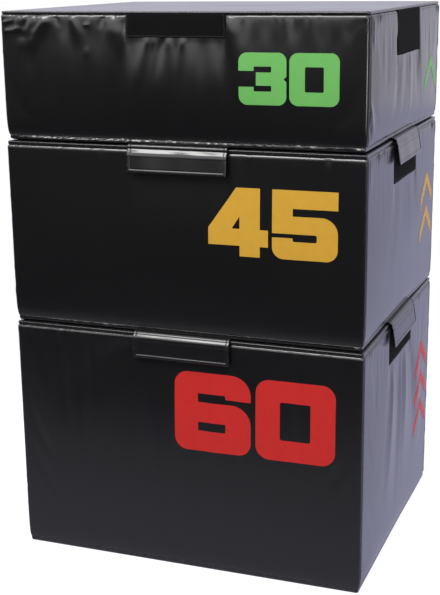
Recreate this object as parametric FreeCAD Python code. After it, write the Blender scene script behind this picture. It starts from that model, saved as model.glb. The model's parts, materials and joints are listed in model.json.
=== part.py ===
import FreeCAD, Part
import math
import os
from collections import namedtuple

from FreeCAD import Vector

# Three soft plyo boxes stacked on one another, all sizes in millimetres.
# The origin is the middle of the base on the floor, +Z is up, the printed fronts face -Y.

# Footprint of every box and the height of each
WIDTH = 885.0
DEPTH = 755.0
HEIGHT_30 = 300.0
HEIGHT_45 = 450.0
HEIGHT_60 = 600.0

# Vinyl cover: sheet, rounded edges, straight rims beside the edges, crown of the walls, seams
COVER_THICKNESS = 1.5
CORNER_RADIUS = 13.0
TOP_EDGE_RADIUS = 10.0
TOP_RIM = 2.0
BASE_EDGE_RADIUS = 9.0
HEM_RIM = 7.0
WALL_CROWN = 6.0
SEAM_GAP = 0.2
LAYER_GAP = 0.1

# Foam core of bonded slabs
SLAB_THICKNESS = 150.0
GLUE_LINE = 0.2
FOAM_CLEARANCE = 0.3

# Loop patches at the top of each wall
PATCH_WIDTH = 240.0
PATCH_THICKNESS = 2.0
PATCH_TOP_MARGIN = 4.0
PATCH_DROP_FRONT = 55.0
PATCH_DROP_SIDE = 106.0

# Flaps that hang over the joint between two boxes, with a hook strip inside
FLAP_WIDTH = 244.0
FLAP_DROP = 60.0
FLAP_THICKNESS = 2.0
FLAP_AXIS_DROP = 4.0
SIDE_FLAP_OPENING = 7.0
ROOT_DEPTH = 4.0
ROOT_CLEARANCE = 0.3
HOOK_TOP = 16.0
HOOK_MARGIN = 6.0
HOOK_SIDE_MARGIN = 9.0
HOOK_THICKNESS = 1.5
HOOK_CLEARANCE = 0.4

# Zip between the hem and the back wall
ZIP_LENGTH = 700.0
TAPE_WIDTH = 6.0
TAPE_THICKNESS = 0.8
COIL_WIDTH = 2.4
COIL_THICKNESS = 1.6
COIL_GAP = 0.3
SLIDER_LENGTH = 13.0
SLIDER_WALL = 1.5
SLIDER_PLATE = 1.2
ZIP_CLEARANCE = 0.2
EAR_LENGTH = 3.0
EAR_THICKNESS = 1.0
PIN_RADIUS = 0.5
PULL_CLEARANCE = 0.25
PULL_EYE_WALL = 0.55
PULL_LENGTH = 26.0
PULL_WIDTH = 3.0
PULL_THICKNESS = 1.0

# Printed films: numbers on the front walls, chevrons on the right walls
FILM_THICKNESS = 0.3
FILM_CLEARANCE = 0.3
NUMERAL_HEIGHT_30 = 113.5
NUMERAL_HEIGHT_45 = 158.0
NUMERAL_HEIGHT_60 = 197.0
NUMERAL_DROP = 85.0
NUMERAL_MARGIN = 62.0
CHEVRON_SPAN = 154.0
CHEVRON_RISE = 63.0
CHEVRON_STROKE = 31.0
CHEVRON_MARGIN = 111.0
CHEVRON_DROP_30 = 127.0
CHEVRON_DROP_45 = 134.0
CHEVRON_DROP_60 = 153.0
CHEVRON_PITCH_45 = 89.0
CHEVRON_PITCH_60 = 83.0

# Numerals are drawn on a grid where the numeral is 100 high: strokes, slots, corner radii, spacing
GRID = 100.0
STEM = 30.5
BAR = 26.3
SLOT = 11.0
SLOT_END = 66.0
THIN_SLOT = 6.0
ROUND = 17.0
BOWL = 24.0
NICK = 2.5
ROUND_EXTRA = 2.0
NOTCH = 5.5
BAR_INSET = 4.5
NUMERAL_SPACE = 6.0
FOUR_WIDTH = 91.0
FOUR_STEM_LEFT = 48.0
FOUR_STEM_RIGHT = 78.6
FOUR_CREST = 42.7
FOUR_BAR_LOW = 15.5
FOUR_BAR_HIGH = 40.3
FOUR_COUNTER_LEFT = 36.0
FOUR_COUNTER_TOP = 58.5

TURN = TOP_EDGE_RADIUS + TOP_RIM
HEM = BASE_EDGE_RADIUS + HEM_RIM
QUARTER_TURN = 90

Box = namedtuple("Box", "name height base numeral_height chevron_count chevron_drop chevron_pitch")

BOX_60 = Box("60", HEIGHT_60, 0.0, NUMERAL_HEIGHT_60, 3, CHEVRON_DROP_60, CHEVRON_PITCH_60)
BOX_45 = Box("45", HEIGHT_45, HEIGHT_60, NUMERAL_HEIGHT_45, 2, CHEVRON_DROP_45, CHEVRON_PITCH_45)
BOX_30 = Box("30", HEIGHT_30, HEIGHT_60 + HEIGHT_45, NUMERAL_HEIGHT_30, 1, CHEVRON_DROP_30, 0.0)

# Each side: quarter turns from the front, and distance of its wall plane from the middle
Side = namedtuple("Side", "name turns half")
FRONT = Side("front", 0, DEPTH / 2)
RIGHT = Side("right", 1, WIDTH / 2)
BACK = Side("back", 2, DEPTH / 2)
LEFT = Side("left", 3, WIDTH / 2)
SIDES = (FRONT, RIGHT, BACK, LEFT)

UP = Vector(0, 0, 1)
ACROSS = Vector(1, 0, 0)
MIDDLE = Vector(0, 0, 0)


def turned(shape, side):
    """A copy of a shape drawn for the front, turned to its own side."""
    copy = shape.copy()
    copy.rotate(MIDDLE, UP, QUARTER_TURN * side.turns)
    return copy


def side_reach(side):
    """Half the length of a side, from its middle to the corner."""
    return (WIDTH + DEPTH) / 2 - side.half


def raised(shape, height):
    """A copy of a shape lifted to its box's place in the stack."""
    copy = shape.copy()
    copy.translate(UP * height)
    return copy


def slab(x_low, x_high, y_low, y_high, z_low, z_high):
    """A plain block between two corners."""
    corner = Vector(x_low, y_low, z_low)
    return Part.makeBox(x_high - x_low, y_high - y_low, z_high - z_low, corner)


# Crowned cover forms

def section(offset, z, bow):
    """A level outline of a box: four bowed sides and four round corners."""
    radius = CORNER_RADIUS + offset
    ease = radius * (1 - math.sqrt(0.5))
    edges = []
    for side in SIDES:
        out = side.half + offset
        along = side_reach(side) + offset
        start = Vector(-along + radius, -out, z)
        end = Vector(along - radius, -out, z)
        past = Vector(along, -out + radius, z)
        if bow:
            wall = Part.Arc(start, Vector(0, -out - bow, z), end).toShape()
        else:
            wall = Part.LineSegment(start, end).toShape()
        corner = Part.Arc(end, Vector(along - ease, -out + ease, z), past).toShape()
        edges += [turned(wall, side), turned(corner, side)]
    return Part.Wire(edges)


def wall_block(height, offset):
    """The crowned middle of a box, between its hem and the turned edge of its top."""
    low, high = HEM, height - TURN
    outlines = [
        section(offset, low, 0),
        section(offset, (low + high) / 2, WALL_CROWN),
        section(offset, high, 0),
    ]
    return Part.makeLoft(outlines, True, False)


def edge_block(z_flat, z_rim, offset, edge_radius):
    """A flat end of a box with its round edge: from the flat face to the rim beside the wall."""
    outline = section(offset, z_rim, 0)
    block = Part.Face(outline).extrude(UP * (z_flat - z_rim))
    on_flat = [
        edge for edge in block.Edges
        if all(abs(vertex.Z - z_flat) < LAYER_GAP / 2 for vertex in edge.Vertexes)
    ]
    return block.makeFillet(min(edge_radius, CORNER_RADIUS - LAYER_GAP) + offset, on_flat)


def top_block(height, offset):
    """The top end of a box."""
    return edge_block(height + offset, height - TURN, offset, TOP_EDGE_RADIUS)


def base_block(offset):
    """The base end of a box."""
    return edge_block(-offset, HEM, offset, BASE_EDGE_RADIUS)


def box_block(height, offset):
    """A whole box, grown or shrunk by an offset."""
    return wall_block(height, offset).fuse([top_block(height, offset), base_block(offset)])


def wall_bulge(height, z):
    """How far the middle of a crowned wall stands out at a height above the base."""
    middle = (HEM + height - TURN) / 2
    reach = (height - TURN - HEM) / 2
    return max(0.0, WALL_CROWN * (1 - ((z - middle) / reach) ** 2))


# Cover panels and foam

def cover_panels(box):
    """Top panel, base panel and four walls with mitred corner seams."""
    inner = -COVER_THICKNESS
    panels = {
        "top_panel": top_block(box.height, 0).cut(top_block(box.height, inner)),
        "base_panel": base_block(0).cut(base_block(inner)),
    }
    ring = wall_block(box.height, 0).cut(wall_block(box.height, inner))
    low = HEM + SEAM_GAP
    high = box.height - TURN - SEAM_GAP
    for side in SIDES:
        along = side_reach(side)
        reach = WALL_CROWN + COVER_THICKNESS
        depth = CORNER_RADIUS + COVER_THICKNESS
        mitre = [
            Vector(-along - reach + SEAM_GAP, -side.half - reach, low),
            Vector(along + reach - SEAM_GAP, -side.half - reach, low),
            Vector(along - depth - SEAM_GAP, -side.half + depth, low),
            Vector(-along + depth + SEAM_GAP, -side.half + depth, low),
        ]
        prism = Part.Face(Part.makePolygon(mitre + mitre[:1])).extrude(UP * (high - low))
        panels[side.name + "_wall"] = ring.common(turned(prism, side))
    return panels


def foam_slabs(box):
    """The foam core, cut at its glue lines into equal slabs."""
    core = box_block(box.height, -(COVER_THICKNESS + FOAM_CLEARANCE))
    count = max(1, round(box.height / SLAB_THICKNESS))
    for level in range(1, count):
        z = level * box.height / count
        core = core.cut(slab(-WIDTH, WIDTH, -DEPTH, DEPTH, z - GLUE_LINE / 2, z + GLUE_LINE / 2))
    return core


# Loop patches, flaps and hook strips

def loop_patches(box, sides, drop):
    """A patch on each of two opposite walls, following the wall up to the edge of the top."""
    inner = box_block(box.height, LAYER_GAP)
    outer = box_block(box.height, LAYER_GAP + PATCH_THICKNESS)
    patches = []
    for side in sides:
        window = slab(-PATCH_WIDTH / 2, PATCH_WIDTH / 2, -side.half - WIDTH, -side.half + TOP_EDGE_RADIUS,
                      box.height - drop, box.height - PATCH_TOP_MARGIN)
        patches.append(outer.common(turned(window, side)).cut(inner))
    return Part.makeCompound([solid for patch in patches for solid in patch.Solids])


FlapLine = namedtuple("FlapLine", "out tilt")


def flap_line(lower):
    """Where a closed flap hangs: its axis out from the wall plane, and its lean along the wall below."""
    stack = LAYER_GAP + PATCH_THICKNESS + HOOK_CLEARANCE + HOOK_THICKNESS + LAYER_GAP + FLAP_THICKNESS / 2
    low = FLAP_DROP - HOOK_MARGIN
    out_high = wall_bulge(lower.height, lower.height - HOOK_TOP) + stack
    out_low = wall_bulge(lower.height, lower.height - low) + stack
    out_middle = wall_bulge(lower.height, lower.height - (low + HOOK_TOP) / 2) + stack
    spare = max(0.0, out_middle - (out_low + out_high) / 2)
    slope = (out_low - out_high) / (low - HOOK_TOP)
    return FlapLine(out_high + spare - slope * (HOOK_TOP - FLAP_AXIS_DROP), math.degrees(math.atan(slope)))


def flap_axis(lower, side):
    """A point on a flap's sewn axis, drawn for the front, with heights from the joint between boxes."""
    return Vector(0, -side.half - flap_line(lower).out, -FLAP_AXIS_DROP)


def flap_pieces(lower, side):
    """A flap and its hook strip, hanging from the axis; the side flaps stand a little open."""
    axis = flap_axis(lower, side)
    half = FLAP_THICKNESS / 2
    left = axis - ACROSS * (FLAP_WIDTH / 2)
    length = FLAP_DROP - FLAP_AXIS_DROP
    straight = length - half
    crest = [Vector(0, -half, 0), Vector(0, 0, half), Vector(0, half, 0)]
    foot = [Vector(0, half, -straight), Vector(0, 0, -length), Vector(0, -half, -straight)]
    crest_points = [left + point for point in crest]
    foot_points = [left + point for point in foot]
    outline = Part.Wire([
        Part.Arc(*crest_points).toShape(),
        Part.LineSegment(crest_points[2], foot_points[0]).toShape(),
        Part.Arc(*foot_points).toShape(),
        Part.LineSegment(foot_points[2], crest_points[0]).toShape(),
    ])
    flap = Part.Face(outline).extrude(ACROSS * FLAP_WIDTH)
    y_hook = axis.y + half + LAYER_GAP
    hook_half = FLAP_WIDTH / 2 - HOOK_SIDE_MARGIN
    hook = slab(-hook_half, hook_half, y_hook, y_hook + HOOK_THICKNESS, -FLAP_DROP + HOOK_MARGIN, -HOOK_TOP)
    opening = flap_line(lower).tilt
    if side in (RIGHT, LEFT):
        opening += SIDE_FLAP_OPENING
    for piece in (flap, hook):
        piece.rotate(axis, ACROSS, -opening)
    return turned(flap, side), turned(hook, side)


def flap_root(lower, side):
    """The fixed, sewn edge of a flap: from under the base edge of its box out to the axis."""
    axis = flap_axis(lower, side)
    inset = BASE_EDGE_RADIUS - ROOT_DEPTH
    roof = BASE_EDGE_RADIUS - math.sqrt(BASE_EDGE_RADIUS ** 2 - inset ** 2)
    start = Vector(0, -side.half + ROOT_DEPTH, roof - FLAP_THICKNESS / 2 - 2 * LAYER_GAP)
    run = axis - start
    run_length = run.Length
    along = run / run_length
    across = Vector(0, -along.z, along.y) * (FLAP_THICKNESS / 2)
    end = start + along * (run_length - FLAP_THICKNESS / 2 - ROOT_CLEARANCE)
    corners = [start + across, end + across, end - across, start - across]
    corners = [corner - ACROSS * (FLAP_WIDTH / 2) for corner in corners]
    root = Part.Face(Part.makePolygon(corners + corners[:1])).extrude(ACROSS * FLAP_WIDTH)
    return turned(root, side)


# Zip on the back

def zip_face(box):
    """How far the inner face of the zip tapes lies out from the back wall plane."""
    return wall_bulge(box.height, HEM + COIL_GAP / 2 + TAPE_WIDTH) + LAYER_GAP


def zip_strip(out, thickness, low, high, length):
    """A strip along the zip line, drawn for the front."""
    y = -BACK.half - out
    return slab(-length / 2, length / 2, y - thickness, y, HEM + low, HEM + high)


def zip_chain(box):
    """Two tapes over the seam and the two coil rows that mesh between them."""
    out = zip_face(box)
    on_tape = out + TAPE_THICKNESS + LAYER_GAP
    gap = COIL_GAP / 2
    strips = [
        zip_strip(out, TAPE_THICKNESS, gap, gap + TAPE_WIDTH, ZIP_LENGTH),
        zip_strip(out, TAPE_THICKNESS, -gap - TAPE_WIDTH, -gap, ZIP_LENGTH),
        zip_strip(on_tape, COIL_THICKNESS, gap, gap + COIL_WIDTH, ZIP_LENGTH),
        zip_strip(on_tape, COIL_THICKNESS, -gap - COIL_WIDTH, -gap, ZIP_LENGTH),
    ]
    return turned(Part.makeCompound(strips), BACK)


def pull_axis(box):
    """A point on the pin of the zip pull, drawn for the front, at the closed end of the chain."""
    crown = zip_face(box) + TAPE_THICKNESS + LAYER_GAP + COIL_THICKNESS + ZIP_CLEARANCE + SLIDER_PLATE
    lift = PIN_RADIUS + PULL_CLEARANCE + PULL_EYE_WALL + ZIP_CLEARANCE
    return Vector(-ZIP_LENGTH / 2 + SLIDER_LENGTH / 2, -BACK.half - crown - lift, HEM)


def zip_slider(box):
    """A channel over the coil rows with two ears and the pin that carries the pull."""
    axis = pull_axis(box)
    inner_half = COIL_GAP / 2 + COIL_WIDTH + ZIP_CLEARANCE
    outer_half = inner_half + SLIDER_WALL
    y_tape = -BACK.half - zip_face(box) - TAPE_THICKNESS - ZIP_CLEARANCE
    y_coil = y_tape - COIL_THICKNESS - LAYER_GAP
    y_plate = y_coil - SLIDER_PLATE
    x_low, x_high = axis.x - SLIDER_LENGTH / 2, axis.x + SLIDER_LENGTH / 2
    slider = slab(x_low, x_high, y_plate, y_tape, HEM - outer_half, HEM + outer_half)
    slider = slider.cut(slab(x_low, x_high, y_coil, y_tape, HEM - inner_half, HEM + inner_half))
    ear_inner = PULL_WIDTH / 2 + ZIP_CLEARANCE
    ear_top = axis.y - PIN_RADIUS - PULL_CLEARANCE
    for direction in (-1, 1):
        z_ends = sorted((HEM + direction * ear_inner, HEM + direction * (ear_inner + EAR_THICKNESS)))
        ear = slab(axis.x - EAR_LENGTH / 2, axis.x + EAR_LENGTH / 2, ear_top, y_plate, *z_ends)
        slider = slider.fuse(ear)
    pin_half = ear_inner + EAR_THICKNESS / 2
    pin = Part.makeCylinder(PIN_RADIUS, 2 * pin_half, axis - UP * pin_half)
    return turned(slider.fuse(pin).removeSplitter(), BACK)


def zip_pull(box):
    """A flat tab with an eye round the slider's pin, lying along the chain."""
    axis = pull_axis(box)
    bore = PIN_RADIUS + PULL_CLEARANCE
    foot = axis - UP * (PULL_WIDTH / 2)
    eye = Part.makeCylinder(bore + PULL_EYE_WALL, PULL_WIDTH, foot)
    tab = slab(axis.x, axis.x + PULL_LENGTH, axis.y - PULL_THICKNESS / 2, axis.y + PULL_THICKNESS / 2,
               foot.z, foot.z + PULL_WIDTH)
    pull = eye.fuse(tab).cut(Part.makeCylinder(bore, PULL_WIDTH, foot))
    return turned(pull.removeSplitter(), BACK)


# Printed films

def rounded_outline(points, place):
    """A closed wire through corner points (x, z, radius), each corner rounded by an arc."""
    edges = []
    stops = []
    count = len(points)
    for index in range(count):
        corner = place(points[index][0], points[index][1])
        radius = place.scale * points[index][2]
        before = place(*points[index - 1][:2]) - corner
        after = place(*points[(index + 1) % count][:2]) - corner
        before.normalize()
        after.normalize()
        half = before.getAngle(after) / 2
        run = radius / math.tan(half)
        bisector = before + after
        if radius:
            bisector.normalize()
            nearest = corner + bisector * (radius / math.sin(half) - radius)
            stops.append((corner + before * run, nearest, corner + after * run))
        else:
            stops.append((corner, None, corner))
    for index in range(count):
        start, nearest, end = stops[index]
        if nearest:
            edges.append(Part.Arc(start, nearest, end).toShape())
        edges.append(Part.LineSegment(end, stops[(index + 1) % count][0]).toShape())
    return Part.Wire(edges)


class Place:
    """Puts points of a flat drawing on the front of a box: a scale and the drawing's lower left corner."""

    def __init__(self, scale, x, z):
        self.scale = scale
        self.x = x
        self.z = z

    def __call__(self, x, z):
        return Vector(self.x + self.scale * x, 0, self.z + self.scale * z)


def frame_loop(x_low, x_high, z_low, z_high, radius):
    """A rounded rectangle as a loop of corner points."""
    corners = ((x_low, z_low), (x_high, z_low), (x_high, z_high), (x_low, z_high))
    return [(x, z, radius) for x, z in corners]


LOW_SLOT = (BAR, BAR + SLOT)
HIGH_SLOT = (GRID - BAR - SLOT, GRID - BAR)

Numeral = namedtuple("Numeral", "width loops")


def numeral_0():
    """A broad rounded frame."""
    width = SLOT_END + STEM + ROUND_EXTRA
    return Numeral(width, [
        frame_loop(0, width, 0, GRID, ROUND),
        frame_loop(STEM, width - STEM, BAR, GRID - BAR, NICK),
    ])


def numeral_3():
    """Two slots open to the left, and a small notch at the right."""
    width = SLOT_END + STEM
    middle = GRID / 2
    bar_start = STEM + BAR_INSET
    stub = HIGH_SLOT[0] + NICK
    return Numeral(width, [[
        (0, GRID, ROUND), (0, stub, 0), (STEM, stub, 0), (STEM, HIGH_SLOT[1], NICK),
        (SLOT_END, HIGH_SLOT[1], NICK), (SLOT_END, HIGH_SLOT[0], NICK), (bar_start, HIGH_SLOT[0], 0),
        (bar_start, LOW_SLOT[1], 0), (SLOT_END, LOW_SLOT[1], NICK), (SLOT_END, LOW_SLOT[0], NICK),
        (STEM, LOW_SLOT[0], NICK), (STEM, GRID - stub, 0), (0, GRID - stub, 0), (0, 0, ROUND),
        (width, 0, ROUND), (width, middle - NOTCH, 0), (width - NOTCH, middle, 0),
        (width, middle + NOTCH, 0), (width, GRID, ROUND),
    ]])


def numeral_4():
    """A slanted left side, a low bar that passes the stem, and a small counter."""
    return Numeral(FOUR_WIDTH, [
        [(FOUR_CREST, GRID, 0), (0, FOUR_BAR_HIGH, 0), (0, FOUR_BAR_LOW, 0),
         (FOUR_STEM_LEFT, FOUR_BAR_LOW, 0), (FOUR_STEM_LEFT, 0, 0), (FOUR_STEM_RIGHT, 0, 0),
         (FOUR_STEM_RIGHT, FOUR_BAR_LOW, 0), (FOUR_WIDTH, FOUR_BAR_LOW, 0), (FOUR_WIDTH, FOUR_BAR_HIGH, 0),
         (FOUR_STEM_RIGHT, FOUR_BAR_HIGH, 0), (FOUR_STEM_RIGHT, GRID, 0)],
        [(FOUR_COUNTER_LEFT, FOUR_BAR_HIGH, 0), (FOUR_STEM_LEFT, FOUR_BAR_HIGH, 0),
         (FOUR_STEM_LEFT, FOUR_COUNTER_TOP, 0)],
    ])


def numeral_5():
    """A square top with a slot open to the right, and a bowl with a slot open to the left."""
    width = SLOT_END + STEM
    lip = LOW_SLOT[1] - THIN_SLOT
    return Numeral(width, [[
        (0, GRID, 0), (0, LOW_SLOT[1], 0), (SLOT_END, LOW_SLOT[1], NICK), (SLOT_END, LOW_SLOT[0], NICK),
        (STEM, LOW_SLOT[0], NICK), (STEM, lip, 0), (0, lip, 0), (0, 0, ROUND), (width, 0, ROUND),
        (width, HIGH_SLOT[0], BOWL), (STEM, HIGH_SLOT[0], 0), (STEM, HIGH_SLOT[1], 0),
        (width, HIGH_SLOT[1], 0), (width, GRID, 0),
    ]])


def numeral_6():
    """A bowl with a closed counter, and above it a slot open to the right."""
    width = SLOT_END + STEM + ROUND_EXTRA
    lip = HIGH_SLOT[0] + THIN_SLOT
    return Numeral(width, [
        [(0, GRID, ROUND), (0, 0, ROUND), (width, 0, ROUND), (width, HIGH_SLOT[0], BOWL),
         (STEM, HIGH_SLOT[0], 0), (STEM, HIGH_SLOT[1], 0), (SLOT_END, HIGH_SLOT[1], NICK),
         (SLOT_END, lip, 0), (width, lip, 0), (width, GRID, BOWL)],
        frame_loop(STEM, SLOT_END, *LOW_SLOT, NICK / 2),
    ])


NUMERALS = {"0": numeral_0, "3": numeral_3, "4": numeral_4, "5": numeral_5, "6": numeral_6}


def film(box, side, faces):
    """Flat outlines pressed on to a crowned wall as a thin film."""
    inner = wall_block(box.height, FILM_CLEARANCE)
    outer = wall_block(box.height, FILM_CLEARANCE + FILM_THICKNESS)
    reach = WALL_CROWN + FILM_CLEARANCE + FILM_THICKNESS + COVER_THICKNESS
    solids = []
    for face in faces:
        prism = face.extrude(Vector(0, -2 * reach, 0))
        prism.translate(Vector(0, -side.half + reach / 2, 0))
        solids += outer.common(turned(prism, side)).cut(inner).Solids
    return Part.makeCompound(solids)


def number_film(box):
    """The height of the box in centimetres, set to the right of its front wall."""
    scale = box.numeral_height / GRID
    x = WIDTH / 2 - NUMERAL_MARGIN
    z = box.height - NUMERAL_DROP - box.numeral_height
    faces = []
    for figure in reversed(box.name):
        numeral = NUMERALS[figure]()
        x -= scale * numeral.width
        place = Place(scale, x, z)
        loops = [rounded_outline(loop, place) for loop in numeral.loops]
        faces.append(Part.makeFace(loops, "Part::FaceMakerBullseye"))
        x -= scale * NUMERAL_SPACE
    return film(box, FRONT, faces)


def chevron_film(box):
    """A column of chevrons near the back edge of the right wall."""
    x = DEPTH / 2 - CHEVRON_MARGIN
    half = CHEVRON_SPAN / 2
    faces = []
    for index in range(box.chevron_count):
        z = box.height - box.chevron_drop - index * box.chevron_pitch
        loop = [(0, 0, 0), (-half, -CHEVRON_RISE, 0), (-half, -CHEVRON_RISE - CHEVRON_STROKE, 0),
                (0, -CHEVRON_STROKE, 0), (half, -CHEVRON_RISE - CHEVRON_STROKE, 0), (half, -CHEVRON_RISE, 0)]
        faces.append(Part.Face(rounded_outline(loop, Place(1.0, x, z))))
    return film(box, RIGHT, faces)


def box_pieces(box):
    """Every piece that is fixed to one box or runs on it, at the box's own base."""
    pieces = cover_panels(box)
    pieces["foam_slabs"] = foam_slabs(box)
    pieces["loop_patches_front_back"] = loop_patches(box, (FRONT, BACK), PATCH_DROP_FRONT)
    pieces["loop_patches_sides"] = loop_patches(box, (RIGHT, LEFT), PATCH_DROP_SIDE)
    pieces["zip_chain"] = zip_chain(box)
    pieces["zip_slider"] = zip_slider(box)
    pieces["zip_pull"] = zip_pull(box)
    pieces["number"] = number_film(box)
    pieces["chevrons"] = chevron_film(box)
    return pieces


def joint_pieces(lower):
    """The flaps that a box hangs over the box below it."""
    pieces = {"flap_roots": Part.makeCompound([flap_root(lower, side) for side in SIDES])}
    for side in SIDES:
        flap, hook = flap_pieces(lower, side)
        pieces["flap_" + side.name] = flap
        pieces["hook_" + side.name] = hook
    return pieces


def main():
    os.makedirs("parts", exist_ok=True)
    below = {BOX_45: BOX_60, BOX_30: BOX_45}
    for box in (BOX_60, BOX_45, BOX_30):
        pieces = box_pieces(box)
        if box in below:
            pieces.update(joint_pieces(below[box]))
        for name, shape in pieces.items():
            node = raised(shape, box.base)
            node.exportStep("parts/%s_%s.step" % (name, box.name))
            print("%s_%s: %d solids, %.0f mm3, valid %s"
                  % (name, box.name, len(node.Solids), node.Volume, node.isValid()))
    for box, lower in below.items():
        for side in SIDES:
            line = flap_line(lower)
            print("flap axis %s %s: %.3f out, %.3f up, lean %.3f deg"
                  % (box.name, side.name, side.half + line.out, box.base - FLAP_AXIS_DROP, line.tilt))
    for box in (BOX_60, BOX_45, BOX_30):
        axis = pull_axis(box)
        print("pull axis %s: x %.3f y %.3f z %.3f" % (box.name, -axis.x, -axis.y, box.base + axis.z))


main()
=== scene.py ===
"""Looks of a set of three soft plyo boxes: sewn vinyl covers over foam, held together by flaps.

Everything is in metres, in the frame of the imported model: +Z is up, the printed fronts face -Y.
"""
import json
import logging
import math
from dataclasses import dataclass, field
from enum import Enum

import bmesh
import bpy
import numpy as np
from mathutils import Matrix, Vector
from mathutils.bvhtree import BVHTree


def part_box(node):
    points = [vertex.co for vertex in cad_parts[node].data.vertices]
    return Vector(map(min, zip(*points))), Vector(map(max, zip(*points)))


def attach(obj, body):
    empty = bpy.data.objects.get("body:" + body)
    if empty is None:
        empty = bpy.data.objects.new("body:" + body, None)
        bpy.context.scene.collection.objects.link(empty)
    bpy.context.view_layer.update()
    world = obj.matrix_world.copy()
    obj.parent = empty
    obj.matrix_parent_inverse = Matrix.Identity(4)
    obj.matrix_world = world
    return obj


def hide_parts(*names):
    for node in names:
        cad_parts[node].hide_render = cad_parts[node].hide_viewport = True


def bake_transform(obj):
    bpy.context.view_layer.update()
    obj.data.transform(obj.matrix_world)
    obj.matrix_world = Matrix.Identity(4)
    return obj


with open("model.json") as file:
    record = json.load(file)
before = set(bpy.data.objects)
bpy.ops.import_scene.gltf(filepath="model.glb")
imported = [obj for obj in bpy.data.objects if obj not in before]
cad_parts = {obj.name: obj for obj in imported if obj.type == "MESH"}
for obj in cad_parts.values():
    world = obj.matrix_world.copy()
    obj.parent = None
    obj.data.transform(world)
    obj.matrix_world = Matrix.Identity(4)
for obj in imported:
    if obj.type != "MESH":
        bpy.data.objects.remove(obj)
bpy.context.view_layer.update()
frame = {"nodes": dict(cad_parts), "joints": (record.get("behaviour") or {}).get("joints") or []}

log = logging.getLogger("plyo_boxes")

MM = 0.001

# Cover forms shared by all boxes
ROLL_UNDER_PATCH = 8.0 * MM
HEM_HEIGHT = 13.0 * MM
HEM_BAND = 10.0 * MM
HEM_SKEW = 1.5
HEM_STEP = 1.0 * MM
WALL_CROWN = 6.0 * MM
SIDE_CROWN = 4.0 * MM
VINYL_THICKNESS = 1.2 * MM

# Sewn detail of the covers
HEM_STITCH_HEIGHT = 7.0 * MM
SEAM_PAST_CORNER = 3.0 * MM
SEAM_GROOVE = 1.8 * MM
SEAM_TUCK = 6.5 * MM
SEAM_HALF_WIDTH = 2.6 * MM
CORNER_TUCK = 3.0 * MM
LIP_REACH = 6.5 * MM
PRESSED_MARGIN = 3.5 * MM

# Values kept on the meshes, and the grain of the finishes
WEAR_ATTRIBUTE = "wear"
OUT_ATTRIBUTE = "out"
PEBBLE_ROUNDNESS = 0.6


class Side(Enum):
    """The four walls of a box, as quarter turns from the front."""

    FRONT = 0
    RIGHT = 1
    BACK = 2
    LEFT = 3

    @property
    def label(self) -> str:
        """The side's name in plain letters."""
        return self.name.lower()

    @property
    def wraps(self) -> bool:
        """Whether this side's wall panel goes round the corners of the box."""
        return self in (Side.FRONT, Side.BACK)

    def turned(self, points: np.ndarray) -> np.ndarray:
        """Turns points that are drawn for the front to this side.

        Args:
            points: Points or directions in the last axis of three numbers.

        Returns:
            The turned points, in an array of the same shape.
        """
        angle = self.value * math.pi / 2
        cosine, sine = round(math.cos(angle)), round(math.sin(angle))
        turn = np.array([[cosine, -sine, 0], [sine, cosine, 0], [0, 0, 1]], float)
        return points @ turn.T


# Shader maths


class Socket:
    """A shader output whose arithmetic adds Math nodes."""

    def __init__(self, graph: "Graph", output: bpy.types.NodeSocket) -> None:
        """Keeps the graph that the output belongs to."""
        self.graph = graph
        self.output = output

    def _math(self, operation: str, first: "Socket | float", second: "Socket | float") -> "Socket":
        """Adds one Math node."""
        return self.graph.node("ShaderNodeMath", {"operation": operation}, {0: first, 1: second})

    def __add__(self, other: "Socket | float") -> "Socket":
        """The sum."""
        return self._math("ADD", self, other)

    __radd__ = __add__

    def __sub__(self, other: "Socket | float") -> "Socket":
        """The difference."""
        return self._math("SUBTRACT", self, other)

    def __rsub__(self, other: "Socket | float") -> "Socket":
        """The difference with this socket taken away."""
        return self._math("SUBTRACT", other, self)

    def __mul__(self, other: "Socket | float") -> "Socket":
        """The product."""
        return self._math("MULTIPLY", self, other)

    __rmul__ = __mul__

    def ease(self, low: float, high: float) -> "Socket":
        """A smooth step from 0 at low to 1 at high.

        Args:
            low: The value that gives 0.
            high: The value that gives 1.

        Returns:
            The stepped value.
        """
        inputs = {"Value": self, "From Min": low, "From Max": high}
        return self.graph.node("ShaderNodeMapRange", {"interpolation_type": "SMOOTHSTEP"}, inputs)


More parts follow.
